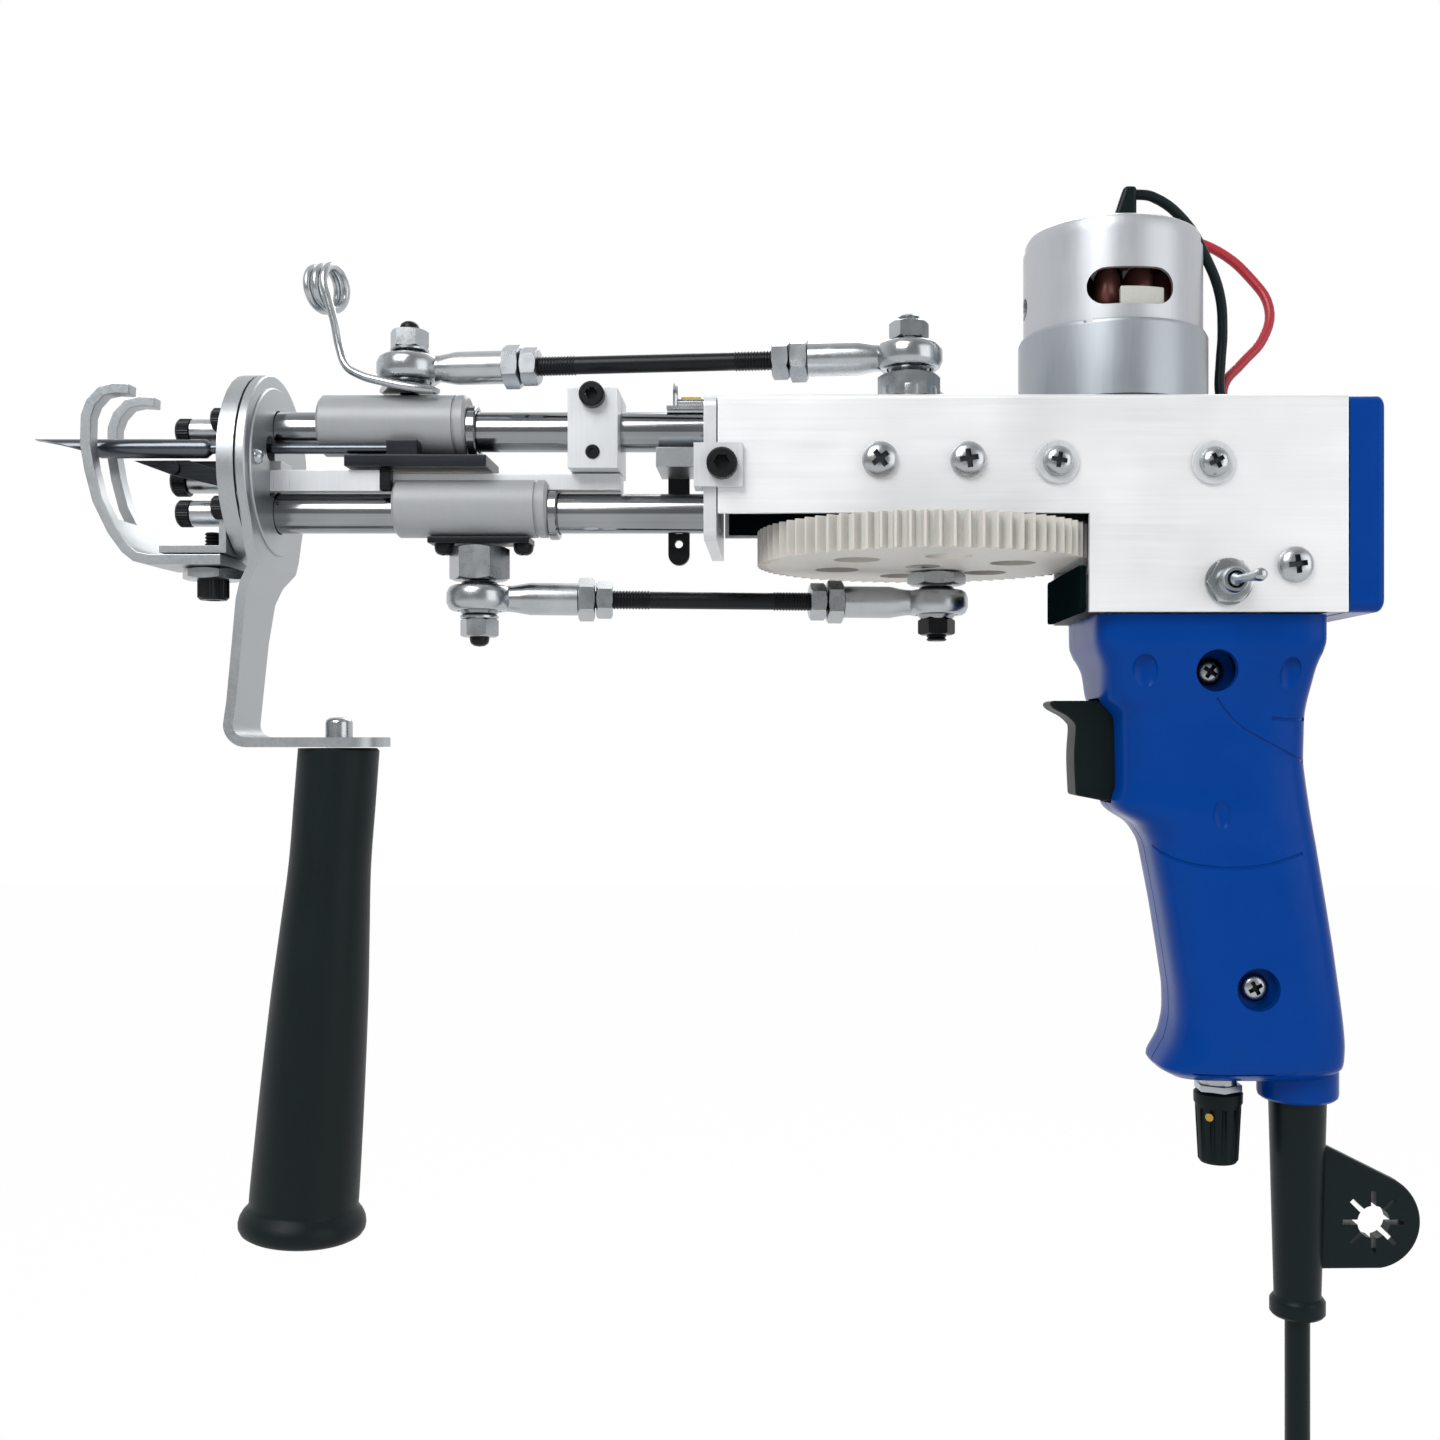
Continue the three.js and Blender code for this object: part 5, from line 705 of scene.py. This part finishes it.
stem = [(-116.6, -6.8, 18.6), (-121, -7.7, 18.9), (-128, -7.5, 20.3), (-134, -6.4, 22.2),
    (-137.4, -5.2, 24.6), (-139.2, -4.6, 29), (-140.4, -4.6, 35), (-142, -4.7, 41)]
stem += [tuple(eyeTurn(i / 14)) for i in range(round(eyeWire["turns"] * 14) + 1)]
wirePiece("yarnEyeWire", stem, eyeWire["radius"], "zincPlate", "yarn_eye", body="needle_slide")

refined("anti_rotation_bar", "milledAluminium", 0.3)
refined("clamp_block", "milledAluminium", 0.35)
refined("wire_bracket", "satinZinc blackOxide", 0.25, 40, lambda middle: middle.z < -0.3)
refined("rear_eyelet", "zincPlate", 0)

print("disc, bracket and foot")
refined("front_disc", "satinZinc", 0.5, 50)
# The bracket: a bossed disc, bored for the rods and slotted for the tools, whose neck leans forward
bracket = {"front": -157.7, "thick": 2.3, "boss": 0.5, "bossRadius": 20, "radius": 22.9, "drop": 65.9,
    "shift": 7.4, "bend": 3, "tabHalf": 9.5, "tabReach": 36, "corner": 7, "handleX": -140.6}
leanShares = ((0.352, 0), (0.41, 0.36), (0.47, 0.55), (0.615, 0.716), (0.835, 0.91))
neckShares = ((0.12, 0.93), (0.21, 0.8), (0.3, 0.7), (0.35, 0.6), (0.4, 0.52), (0.47, 0.455), (0.615, 0.41),
    (0.835, 0.4))
front, thick, drop = bracket["front"], bracket["thick"], bracket["drop"]
foremost = front - bracket["shift"]
outside = thick + bracket["bend"]
bendTop = outside - drop
tabEnd = foremost + bracket["tabReach"]
side = [(front, 0)] + [(front - lean * bracket["shift"], -down * drop) for down, lean in leanShares]
side += arc(outside, 12, foremost + outside, bendTop, 180, 90)
side += [(tabEnd, -drop), (tabEnd, thick - drop)]
side += arc(bracket["bend"], 12, foremost + outside, bendTop, 270, -90)
side += [(front + thick - lean * bracket["shift"], -down * drop) for down, lean in reversed(leanShares)]
sheet = prism(side + [(front + thick, 0)], -bracket["radius"], bracket["radius"], "y")
edge = [(across * bracket["radius"], -down * drop) for down, across in neckShares]
edge += [(bracket["tabHalf"], bendTop), (bracket["tabHalf"], -drop - 2)]
spread = prism(edge + [(-y, z) for y, z in reversed(edge)], foremost - 2, tabEnd + 2, "x")
neck = combine(sheet, spread, "INTERSECT")
rounded = prism(roundedBox(foremost - 20, tabEnd, -bracket["tabHalf"], bracket["tabHalf"], bracket["corner"],
    12), -drop - 2, bendTop)
neck = combine(neck, unite(rounded, brick(foremost - 2, front + thick + 2, -30, 30, bendTop - 0.01, 2)),
    "INTERSECT")
plate = moved(rod(bracket["radius"], front, front + thick, 0.3, 96), turns["x"])
boss = moved(rod(bracket["bossRadius"], front + 1, front + thick + bracket["boss"], 0.3, 96), turns["x"])
bracketShape = soften(unite(plate, neck, boss), 0.3, 50)
bores = [placed(rod(guides["bore"], front - 2, front + 6, 0, 48), "x", 0, 0, guides[level])
    for level in ("upper", "lower")]
bores.append(placed(rod(3.1, front - 2, front + 6, 0, 32), "x", 0, needle["y"], needle["z"]))
bores.append(brick(front - 2, front + 6, -7, -3.6, -6.6, 4.9))
bores.append(shifted(rod(3.5, -drop - 2, thick - drop + 2, 0, 32), bracket["handleX"]))
bracketShape = carve(bracketShape, *bores)
newPiece("handleBracketBent", bracketShape, "satinZinc", "handle_bracket")
refined("presser_foot", "satinZinc", 0.5)
refined("foot_bracket", "satinZinc", 0.3)
bolt = {"x": -168.4, "y": -6.6, "nutTop": -24.0}
footBolt = gather(shifted(hexNut(12.6, 2.5, 0, 0.4), bolt["x"], bolt["y"], bolt["nutTop"] - 2.5),
    (placed(socketHead(3.6, 4.7), "-z", bolt["x"], bolt["y"], bolt["nutTop"] - 2.5), 1),
    (shifted(threaded(1.9, bolt["nutTop"] - 1, -15.3), bolt["x"], bolt["y"]), 1))
newPiece("footBoltDressed", footBolt, "zincPlate blackOxide", "foot_bolt")

# Screws on the disc's face: place, head radius, head height and the spacer behind it
discFace = -161.8
discScrews = ((0, 9.8, 3.25, 3.2, 14.1, 3.1), (0, -9.8, 3.25, 3.2, 14.1, 3.1),
    (4.4, -1.4, 3.6, 3.7, 16.5, 2.8), (-15.4, 9.6, 2.75, 3.2, 0, 0), (-15.4, -10.6, 2.75, 3.2, 0, 0),
    (15.4, 9.6, 2.75, 3.2, 0, 0), (15.4, -10.6, 2.75, 3.2, 0, 0))
faceScrews = bmesh.new()
for y, z, head, height, spacer, spacerRadius in discScrews:
    if spacer:
        add(faceScrews, placed(rod(spacerRadius, 0, spacer, 0.3, 40), "-x", discFace + 0.02, y, z))
    add(faceScrews, placed(socketHead(head, height), "-x", discFace - spacer - 0.02, y, z), 1)
add(faceScrews, placed(lathe([(0, 0), (1.7, 0), (1.7, 0.5), (1.3, 1.3), (0.6, 1.7), (0, 1.8)], 24), "x",
    -154.92, -16.6, 0.9))
newPiece("discScrews", faceScrews, "zincPlate blackOxide")

print("front handle")
handle = {"x": bracket["handleX"], "top": -66.2, "lean": 4.4}
profile = smoothLine([(9.45, 0), (9.5, -12), (9.55, -28), (10.4, -44), (11.3, -60), (12.1, -82),
    (12.65, -104), (12.7, -110)], 6)
profile = [(0, 0.6), (8.9, 0.6)] + [tuple(p) for p in profile]
profile += [(13.1, -110.6), (14.0, -111.7), (14.6, -112.9), (14.85, -114.2), (14.75, -115.3), (14.2, -116.3),
    (13.2, -116.9), (11.5, -117), (4, -117), (3.4, -115.5), (0, -115.5)]
handleBody = moved(lathe(profile, 96), turning(handle["lean"], "Y"))
handleBody = carve(handleBody, brick(-20, 20, -20, 20, 0, 8))
stud = gather(shifted(handleBody, handle["x"], 0, handle["top"]),
    (shifted(lathe([(0, -66), (3.2, -66), (3.2, -60.2), (3.0, -59.5), (2.3, -58.95), (1.2, -58.8),
    (0, -58.75)], 40), handle["x"]), 1))
newPiece("frontHandleMoulded", stud, "mouldedRubber zincPlate", "front_handle")

print("connecting rods")


def rodEnd():  # a ball eye at the origin, its shank along +X
    eye = lathe([(5.2, -3), (6.5, -3), (7.2, -2.5), (7.8, -1.2), (7.8, 1.2), (7.2, 2.5), (6.5, 3), (5.2, 3),
        (5.2, -3)], 56)
    neck = moved(lathe([(0, 6.4), (3.1, 6.4), (3.2, 8), (3.9, 12), (3.9, 23.4), (0, 23.6)], 40), turns["x"])
    ball = lathe([(2.7, -4)] + arc(5.65, 10, 0, 0, -45, 90) + [(2.7, 4), (2.7, -4)], 40)
    return gather(eye, neck, placed(hexNut(9.2, 4, 2.4, 0.4), "x", 23.6, 0, 0), (ball, 1))


def connectingRod(name, body, front, rear, height, bolt):
    way = Vector((rear[0] - front[0], rear[1] - front[1]))
    angle = math.atan2(way.y, way.x)
    length = way.length
    toFront = Matrix.Translation((*front, height)) @ Matrix.Rotation(angle, 4, "Z")
    toRear = Matrix.Translation((*rear, height)) @ Matrix.Rotation(angle + math.pi, 4, "Z")
    steel = "zincPlate groundSteel blackOxide"
    newPiece(name + "FrontEye", moved(rodEnd(), toFront), steel, body + "_front_eye", body=body)
    rearEye = moved(rodEnd(), toRear)
    up, tone = ("z", 0) if bolt > 0 else ("-z", 2)
    face = Matrix.Translation((*rear, height)) @ turns[up]
    add(rearEye, moved(hexNut(8, 4, 0, 0.4), face @ Matrix.Translation((0, 0, 4))), tone)
    add(rearEye, moved(threaded(2.5, -4, 9.5), face), tone)
    newPiece(name + "RearEye", rearEye, steel, body + "_rear_eye", body=body)
    begin, nut = 20.9, 27.9
    shaft = lathe([(0, begin), (2.1, begin), (2.1, length - begin), (0, length - begin)], 24)
    bar = gather(moved(shaft, turns["x"]))
    for start in (nut + 4, length - nut - 4 - 9):
        add(bar, moved(threaded(2.3, start, start + 9, 0.75, 0.3, 20), turns["x"]))
    for start in (nut, length - nut - 4):
        add(bar, placed(hexNut(8, 4, 2.1, 0.4), "x", start, 0, 0), 1)
    newPiece(name + "Bar", moved(bar, toFront), "blackOxide zincPlate", body + "_rod",
        body=body)


connectingRod("upperConrod", "upper_conrod", (-123.6, 0), pins["upper"], 24.9, 1)
connectingRod("lowerConrod", "lower_conrod", (-106.8, 0), pins["lower"], -30.2, -1)


def sliderPin(name, x, base, eyeHeight, way, body, node):  # spacer, bolt and nut that the front eye swings on
    up = at("z" if way > 0 else "-z", x, 0, base)
    face = abs(eyeHeight - base) - 4.3
    tip = face + 13.4
    shank = lathe([(0, 0), (2.35, 0), (2.35, tip + 0.8), (2.1, tip + 1.7), (1.3, tip + 2.3), (0, tip + 2.5)],
        32)
    bolt = gather(moved(hexNut(12.6, face, 0, 0.5), up), moved(ring(4.6, 2, face + 8.4, face + 9.2, 0.2), up),
        moved(hexNut(8, 4.4, 0, 0.4), up @ Matrix.Translation((0, 0, face + 9.2))), (moved(shank, up), 1))
    newPiece(name, bolt, "zincPlate blackOxide", node, body=body)


sliderPin("upperSliderBolt", -123.6, 18.9, 24.9, 1, "needle_slide", "upper_slider_pin")
sliderPin("lowerSliderBolt", -106.8, -17.9, -30.2, -1, "scissor_slide", "lower_slider_pin")
plateScrews = gather(*[placed(panHead(2.4, 2.5), "-z", x, 0, -17.3) for x in (-115.2, -96.2)])
newPiece("carrierScrews", plateScrews, "blackOxide oiledSteel", body="scissor_slide")
clampScrew = gather(placed(socketHead(3.0, 3.1), "-y", -78.4, -9.45, 16.5),
    placed(socketHead(1.7, 0.6), "-y", -78.4, -9.45, 3.4))
newPiece("clampScrews", clampScrew, "blackOxide")
newPiece("yarnSleeve", placed(ring(0.95, 0.45, -58.2, -53.4, 0.1, 20), "x", 0, 0, 17.4), "yellowSilicone")

print("grip")
grip = {"front": 37.4, "depth": 61.6, "length": 108.3, "half": 20.5, "top": -35.5, "sides": 72, "wall": 2.4,
    "seam": 0.5, "rowStep": 0.009, "knobX": 71, "sinkFace": 15.8}
gripRows = (  # falls, fronts, rears and half widths, as shares, and how square the section is
    (0, 0.008, 0.876, 1, 11), (0.0676, 0.01, 0.876, 1, 11), (0.0799, 0.026, 0.866, 0.97, 9),
    (0.1126, 0.05, 0.852, 0.94, 7), (0.1802, 0.055, 0.838, 0.86, 5), (0.212, 0.115, 0.832, 0.83, 4.6),
    (0.3144, 0.118, 0.835, 0.8, 4), (0.3697, 0.12, 0.849, 0.79, 4), (0.4014, 0.096, 0.858, 0.79, 4),
    (0.425, 0.127, 0.864, 0.79, 4), (0.4475, 0.205, 0.87, 0.78, 4), (0.4895, 0.25, 0.886, 0.77, 3.8),
    (0.6185, 0.294, 0.924, 0.77, 3.8), (0.7168, 0.322, 0.952, 0.77, 3.8), (0.8172, 0.349, 0.976, 0.78, 3.8),
    (0.8776, 0.352, 0.988, 0.78, 4), (0.9257, 0.333, 0.996, 0.78, 4), (0.9759, 0.278, 0.993, 0.76, 4),
    (0.99, 0.289, 0.975, 0.68, 4), (1, 0.345, 0.94, 0.55, 4),
)
gripFine = []
for start, end in zip(gripRows, gripRows[1:]):
    steps = max(1, round((end[0] - start[0]) / grip["rowStep"]))
    gripFine += [[a + (b - a) * i / steps for a, b in zip(start, end)] for i in range(steps)]
gripFine.append(list(gripRows[-1]))
for _ in range(3):  # eases the kinks between rows, which lie about 1 mm apart
    eased = []
    for before, row, after in zip(gripFine, gripFine[1:], gripFine[2:]):
        eased.append([row[0]] + [(a + 2 * b + c) / 4 for a, b, c in zip(before[1:], row[1:], after[1:])])
    gripFine = [gripFine[0]] + eased + [gripFine[-1]]


def gripLoft(inset):
    bm = bmesh.new()
    rings = []
    for down, front, rear, half, square in gripFine:
        loop = bmesh.ops.create_circle(bm, segments=grip["sides"], radius=1)["verts"]
        x0 = grip["front"] + front * grip["depth"] + inset
        x1 = grip["front"] + rear * grip["depth"] - inset
        height = grip["top"] - min(max(down * grip["length"], inset), grip["length"] - inset)
        for v in loop:
            u, w = [math.copysign(abs(k) ** (2 / square), k) for k in v.co.xy]
            v.co = ((x0 + x1) / 2 + (x1 - x0) / 2 * u, (half * grip["half"] - inset) * w, height)
        rings.append(list(dict.fromkeys(e for v in loop for e in v.link_edges)))
    for above, below in zip(rings, rings[1:]):
        bmesh.ops.bridge_loops(bm, edges=above + below)
    bmesh.ops.holes_fill(bm, edges=bm.edges, sides=0)
    return merged(bm)


def gripSide(x, z):  # how far the grip's side stands from the middle at a place
    down = (grip["top"] - z) / grip["length"]
    row = min(gripFine, key=lambda r: abs(r[0] - down))
    middle = grip["front"] + (row[1] + row[2]) / 2 * grip["depth"]
    share = min(0.98, abs(x - middle) / ((row[2] - row[1]) / 2 * grip["depth"]))
    return row[3] * grip["half"] * (1 - share ** row[4]) ** (1 / row[4])


outer = gripLoft(0)
body = carve(outer, gripLoft(grip["wall"]))
body = carve(body, prism(roundedBox(30, 53.5, -79.2, -54.3, 1.2), -6.1, 6.1, "y"),
    shifted(rod(4.8, -150, -140, 0, 40), grip["knobX"]), shifted(rod(7.1, -152, -141, 0, 48), lead["x"]))
boss = lathe([(7.1, -150.2), (8.6, -150.2), (9.3, -149.6), (9.5, -148.8), (9.5, -142.8), (7.1, -142.8),
    (7.1, -150.2)], 64)
body = unite(body, shifted(boss, lead["x"]))
# Deep screw sinks: x, z, radius and depth of each
sinks = ((65.4, -48.3, 4.8, 4.2), (75.9, -121.8, 5.0, 4.2))
for x, z, radius, depth in sinks:
    for side, way in bothSides:
        floor = grip["sinkFace"] - depth
        body = carve(body, placed(rod(radius, floor, 25, 0, 40), way, x, 0, z))
        body = unite(body, placed(rod(radius + 1.2, 9.5, floor + 0.02, 0, 40), way, x, 0, z))
# Shallow dimples from the mould's pins: x, z, radius and how tall. Creases of the thumb rest, as points x, z
dimples = ((48.9, -48.9, 3.0, 1.6), (82.3, -49.7, 2.6, 2.0), (67.3, -81.6, 2.2, 1.7))
creases = (
    ((65.6, -54.6), (67.6, -57.4), (71.6, -61.4), (77.6, -64.8), (83.4, -67.6), (88.4, -69.6)),
    ((52.4, -88.6), (56, -91.4), (62, -93.2), (70, -93.8), (78, -93), (86.4, -90.4)),
    ((78.6, -59.2), (83, -59.6), (87.6, -59.4)),
    ((61.4, -141.6), (68, -141.8), (76, -141.7), (84.6, -141.4)),
)
for side, way in bothSides:
    for x, z, radius, tall in dimples:
        pool = bmesh.new()
        bmesh.ops.create_uvsphere(pool, u_segments=32, v_segments=16, radius=radius)
        bmesh.ops.scale(pool, vec=(1, 0.55, tall), verts=pool.verts)
        body = carve(body, shifted(pool, x, side * (gripSide(x, z) + 0.35), z))
    for crease in creases:
        curve = wireCurve("crease", 0.42, 2)
        line = smoothLine([(x, z, 0) for x, z in crease], 5)
        spline = curve.splines.new("POLY")
        spline.points.add(len(line) - 1)
        for place, knot in zip(line, spline.points):
            knot.co = (place[0], side * (gripSide(place[0], place[1]) + 0.08), place[1], 1)
        holder = bpy.data.objects.new("crease", curve)
        bpy.context.scene.collection.objects.link(holder)
        tube = bmesh.new()
        tube.from_mesh(holder.to_mesh())
        bpy.data.objects.remove(holder)
        bpy.data.curves.remove(curve)
        body = carve(body, merged(tube))
body = carve(body, brick(30, 105, -grip["seam"] / 2, grip["seam"] / 2, -152, -33))
newPiece("gripMoulded", body, "glossAbs", "grip_shell_near grip_shell_far", sharp=32)
gripScrews = bmesh.new()
for x, z, radius, depth in sinks:
    for side, way in bothSides:
        turned = at(way, x, side * (grip["sinkFace"] - depth), z) @ Matrix.Rotation(x, 4, "Z")
        add(gripScrews, moved(panHead(3.3, 1.9), turned))
# the second finish, black oxide, is painted shade in the cross recesses
newPiece("gripScrews", gripScrews, "zincPlate blackOxide")
painted("trigger_switch", "mattAbs")

print("trigger and knob")
face = smoothLine([(35.7, -77.4), (35.35, -70), (35.4, -66), (35.7, -61.3), (35.1, -59.9), (33.4, -58.4),
    (30.6, -56.9), (29.7, -56.0)], 4)
triggerOutline = [(41.9, -78.6)] + [tuple(p) for p in face] + [(29.5, -55.4), (30.4, -54.9), (42.6, -54.9),
    (48.2, -60.2), (48.2, -78.6)]
newPiece("triggerMoulded", soften(prism(triggerOutline, -5.5, 5.5, "y"), 0.8, 30, 4), "mattAbs",
    "trigger", body="trigger_piece")
knob = lathe([(0, -148.3), (5.2, -148.3), (5.8, -148.9), (5.75, -151.2), (5.45, -151.6), (4.75, -164.8),
    (4.2, -165.6), (0, -165.6)], 72)
for i in range(12):
    a = 2 * math.pi * i / 12
    flute = lathe([(0, -152.6), (0.55, -152.1), (0.62, -158), (0.62, -168), (0, -168)], 16)
    knob = carve(knob, shifted(flute, 5.15 * math.cos(a), 5.15 * math.sin(a)))
dial = gather(shifted(carve(knob, rod(3.2, -150, -140, 0, 32)), grip["knobX"]),
    (shifted(moved(rod(1.0, 4.3, 5.7, 0.1, 20), turning(-37) @ turns["-y"]), grip["knobX"], 0, -154), 1))
newPiece("speedKnobMoulded", dial, "mattAbs turnedBrass", "speed_knob", body="speed_dial")
refined("speed_potentiometer", "zincPlate", 0.15)

print("toggle")
toggle = {"x": 66.7, "z": -28.5, "wall": -23}
toggleSeat = at("-y", toggle["x"], toggle["wall"], toggle["z"])
collar = lathe([(1.6, 0), (3.0, 0), (3.0, 5.6), (2.6, 6.2), (1.9, 6.2), (1.6, 4.4), (1.6, 0)], 40)
bush = gather(moved(ring(5.4, 3.1, 0, 0.7, 0.15, 48), toggleSeat),
    placed(hexNut(9.2, 1.8, 2.9, 0.3), "-y", toggle["x"], toggle["wall"] - 0.7, toggle["z"]),
    moved(collar, toggleSeat), moved(threaded(3.05, 2.4, 5.3, 0.6, 0.2, 32), toggleSeat))
bush = carve(bush, moved(rod(2.0, 3.2, 8, 0, 32), toggleSeat))
case = shifted(brick(-6.3, 6.3, -21.2, -12.2, -3.5, 3.5), toggle["x"], 0, toggle["z"])
add(bush, soften(case, 0.3))
newPiece("toggleBush", bush, "zincPlate", "toggle_switch")
lever = lathe([(0, -1.6), (1.6, -1.2), (1.9, 0), (1.5, 1.3), (0.95, 2.2), (0.95, 5), (1.2, 8.4), (1.45, 10.6),
    (1.45, 11.4), (1.2, 12.1), (0.6, 12.4), (0, 12.45)], 36)
lever = moved(lever, Matrix.Translation((toggle["x"], -28.3, toggle["z"])) @ turning(11) @ turns["-y"])
newPiece("toggleLeverPlated", lever, "zincPlate", "toggle_lever", body="power_toggle")

print("guard, tie and socket")
guard = {"x": lead["x"], "top": -142.5, "bottom": lead["exit"]}
top, bottom = guard["top"], guard["bottom"]
sleeve = lathe([(3.0, bottom), (6.0, bottom), (6.5, bottom + 0.6), (6.5, bottom + 3.4), (6.0, bottom + 4.1),
    (5.5, bottom + 4.6), (6.75, -150.6), (6.8, top), (3.0, top), (3.0, bottom)], 64)
tabX, tabZ = 107.7, -179.7
tabOutline = [(guard["x"], -159.4), (96.9, -161.7)] + arc(11.3, 24, tabX, tabZ, 68, -149)
tabOutline.append((guard["x"], -191))
tab = soften(prism(tabOutline, -2, 2, "y"), 0.6, 50, 3)
keyTools = [placed(rod(3.9, -4, 4, 0, 48), "y", tabX, 0, tabZ)]
for i in range(4):
    bar = moved(brick(-7.4, 7.4, -4, 4, -0.6, 0.6), Matrix.Rotation(i * math.pi / 4, 4, "Y"))
    keyTools.append(shifted(bar, tabX, 0, tabZ))
moulding = carve(unite(shifted(sleeve, guard["x"]), tab), *keyTools)
moulding = carve(moulding, shifted(rod(3.0, -205, -140, 0, 40), guard["x"]))
newPiece("guardMoulded", moulding, "softPvc", "cord_guard")

tieZ = hankStart - lead["run"] / 2
tie = {"wall": 1.6, "slack": 1, "half": 4, "corner": 3}
reach = lead["waist"] / 2 + lead["radius"] + tie["slack"]
near, far = -lead["radius"] - tie["slack"], lead["rounds"] * pitch + lead["radius"] + tie["slack"]
wall, half, corner = tie["wall"], tie["half"], tie["corner"]
strap = prism(roundedBox(hankX - reach - wall, hankX + reach + wall, near - wall, far + wall, corner + 1.5),
    tieZ - half, tieZ + half)
hole = prism(roundedBox(hankX - reach, hankX + reach, near, far, corner), tieZ - half - 2, tieZ + half + 2)
strap = carve(strap, hole)
leadTie = newPiece("leadTie", soften(strap, 0.3, 50), "mouldedRubber", "cord_tie")
plugBody = lathe([(0, -16), (2.75, -17), (2.75, -26), (4.9, -26), (5.25, -25.6), (5.25, -8.7), (5.0, -7.6),
    (4.0, -5.2), (3.7, -2.4), (3.9, 0), (0, 0)], 56)
inline = add(plugBody, rod(1.05, -25, -15, 0.3, 20), 1)
shifted(inline, leadEnd.x, leadEnd.y, leadEnd.z - lead["socketGap"])
leadSocket = newPiece("leadSocket", inline, "mattAbs zincPlate", "power_socket")

print("room and lights")
# A plain studio: white to the camera, and the world's own light at a plain level
light = {"sky": 0.6, "mirror": 0.95, "behind": 0.35, "key": 9.0, "fill": 2.5, "rim": 4.0}
world = bpy.data.worlds.new("studio")
bpy.context.scene.world = world
world.use_nodes = True
sky = world.node_tree
sky.nodes.clear()
ray = addNode(sky, "ShaderNodeLightPath")
seen = addNode(sky, "ShaderNodeMath", {"operation": "MAXIMUM"},
    {0: ray.outputs["Is Camera Ray"], 1: ray.outputs["Is Transmission Ray"]})
way = addNode(sky, "ShaderNodeSeparateXYZ", {}, {0: addNode(sky, "ShaderNodeTexCoord").outputs["Generated"]})
farSide = addNode(sky, "ShaderNodeMapRange", {"From Min": -0.6, "From Max": 0.3, "To Min": light["behind"],
    "To Max": light["mirror"]}, {"Value": way.outputs["Y"]})
mirrored = addNode(sky, "ShaderNodeMix", {"data_type": "FLOAT", 2: light["sky"]},
    {0: ray.outputs["Is Glossy Ray"], 3: farSide})
level = addNode(sky, "ShaderNodeMix", {"data_type": "FLOAT", 3: 1.0}, {0: seen, 2: mirrored})
backdrop = addNode(sky, "ShaderNodeBackground", {"Color": (1, 1, 1, 1)}, {"Strength": level})
addNode(sky, "ShaderNodeOutputWorld", {}, {"Surface": backdrop})
for name, power, place, size in (
    ("keyLight", light["key"], (-0.5, -0.75, 0.75), 0.6),
    ("fillLight", light["fill"], (0.7, -0.6, 0.25), 0.7),
    ("rimLight", light["rim"], (0.1, 0.7, 0.7), 0.6),
):
    lamp = bpy.data.lights.new(name, "AREA")
    lamp.energy = power
    lamp.size = size
    lampObject = bpy.data.objects.new(name, lamp)
    lampObject.location = place
    aim = Vector((-0.05, 0, 0.03)) - Vector(place)
    lampObject.rotation_euler = aim.to_track_quat("-Z", "Y").to_euler()
    bpy.context.scene.collection.objects.link(lampObject)

floorSize = {"half": 3.0, "drop": 0.004, "glow": 0.975}
floorMesh = bpy.data.meshes.new("floor")
floorBm = bmesh.new()
bmesh.ops.create_grid(floorBm, x_segments=1, y_segments=1, size=floorSize["half"])
floorBm.to_mesh(floorMesh)
floorBm.free()
floor = bpy.data.objects.new("floor", floorMesh)
floor.location.z = cadBox[0].z - floorSize["drop"]
bpy.context.scene.collection.objects.link(floor)
paper = bpy.data.materials.new("backgroundPaper")  # plain white paper, which keeps the object's shadow
paper.use_nodes = True
paperTree = paper.node_tree
paperShader = paperTree.nodes["Principled BSDF"]
paperShader.inputs["Base Color"].default_value = (0.9, 0.9, 0.9, 1)
paperShader.inputs["Roughness"].default_value = 0.9
paperRay = addNode(paperTree, "ShaderNodeLightPath")
whiteGlow = addNode(paperTree, "ShaderNodeEmission", {"Strength": 1.0})
lit = addNode(paperTree, "ShaderNodeMath", {"operation": "MAXIMUM"},
    {0: paperRay.outputs["Is Camera Ray"], 1: paperRay.outputs["Is Glossy Ray"]})
glow = addNode(paperTree, "ShaderNodeMath", {"operation": "MULTIPLY", 1: floorSize["glow"]}, {0: lit})
paperMix = addNode(paperTree, "ShaderNodeMixShader", {}, {0: glow, 1: paperShader, 2: whiteGlow})
paperTree.links.new(paperMix.outputs[0], paperTree.nodes["Material Output"].inputs["Surface"])
floorMesh.materials.append(paper)
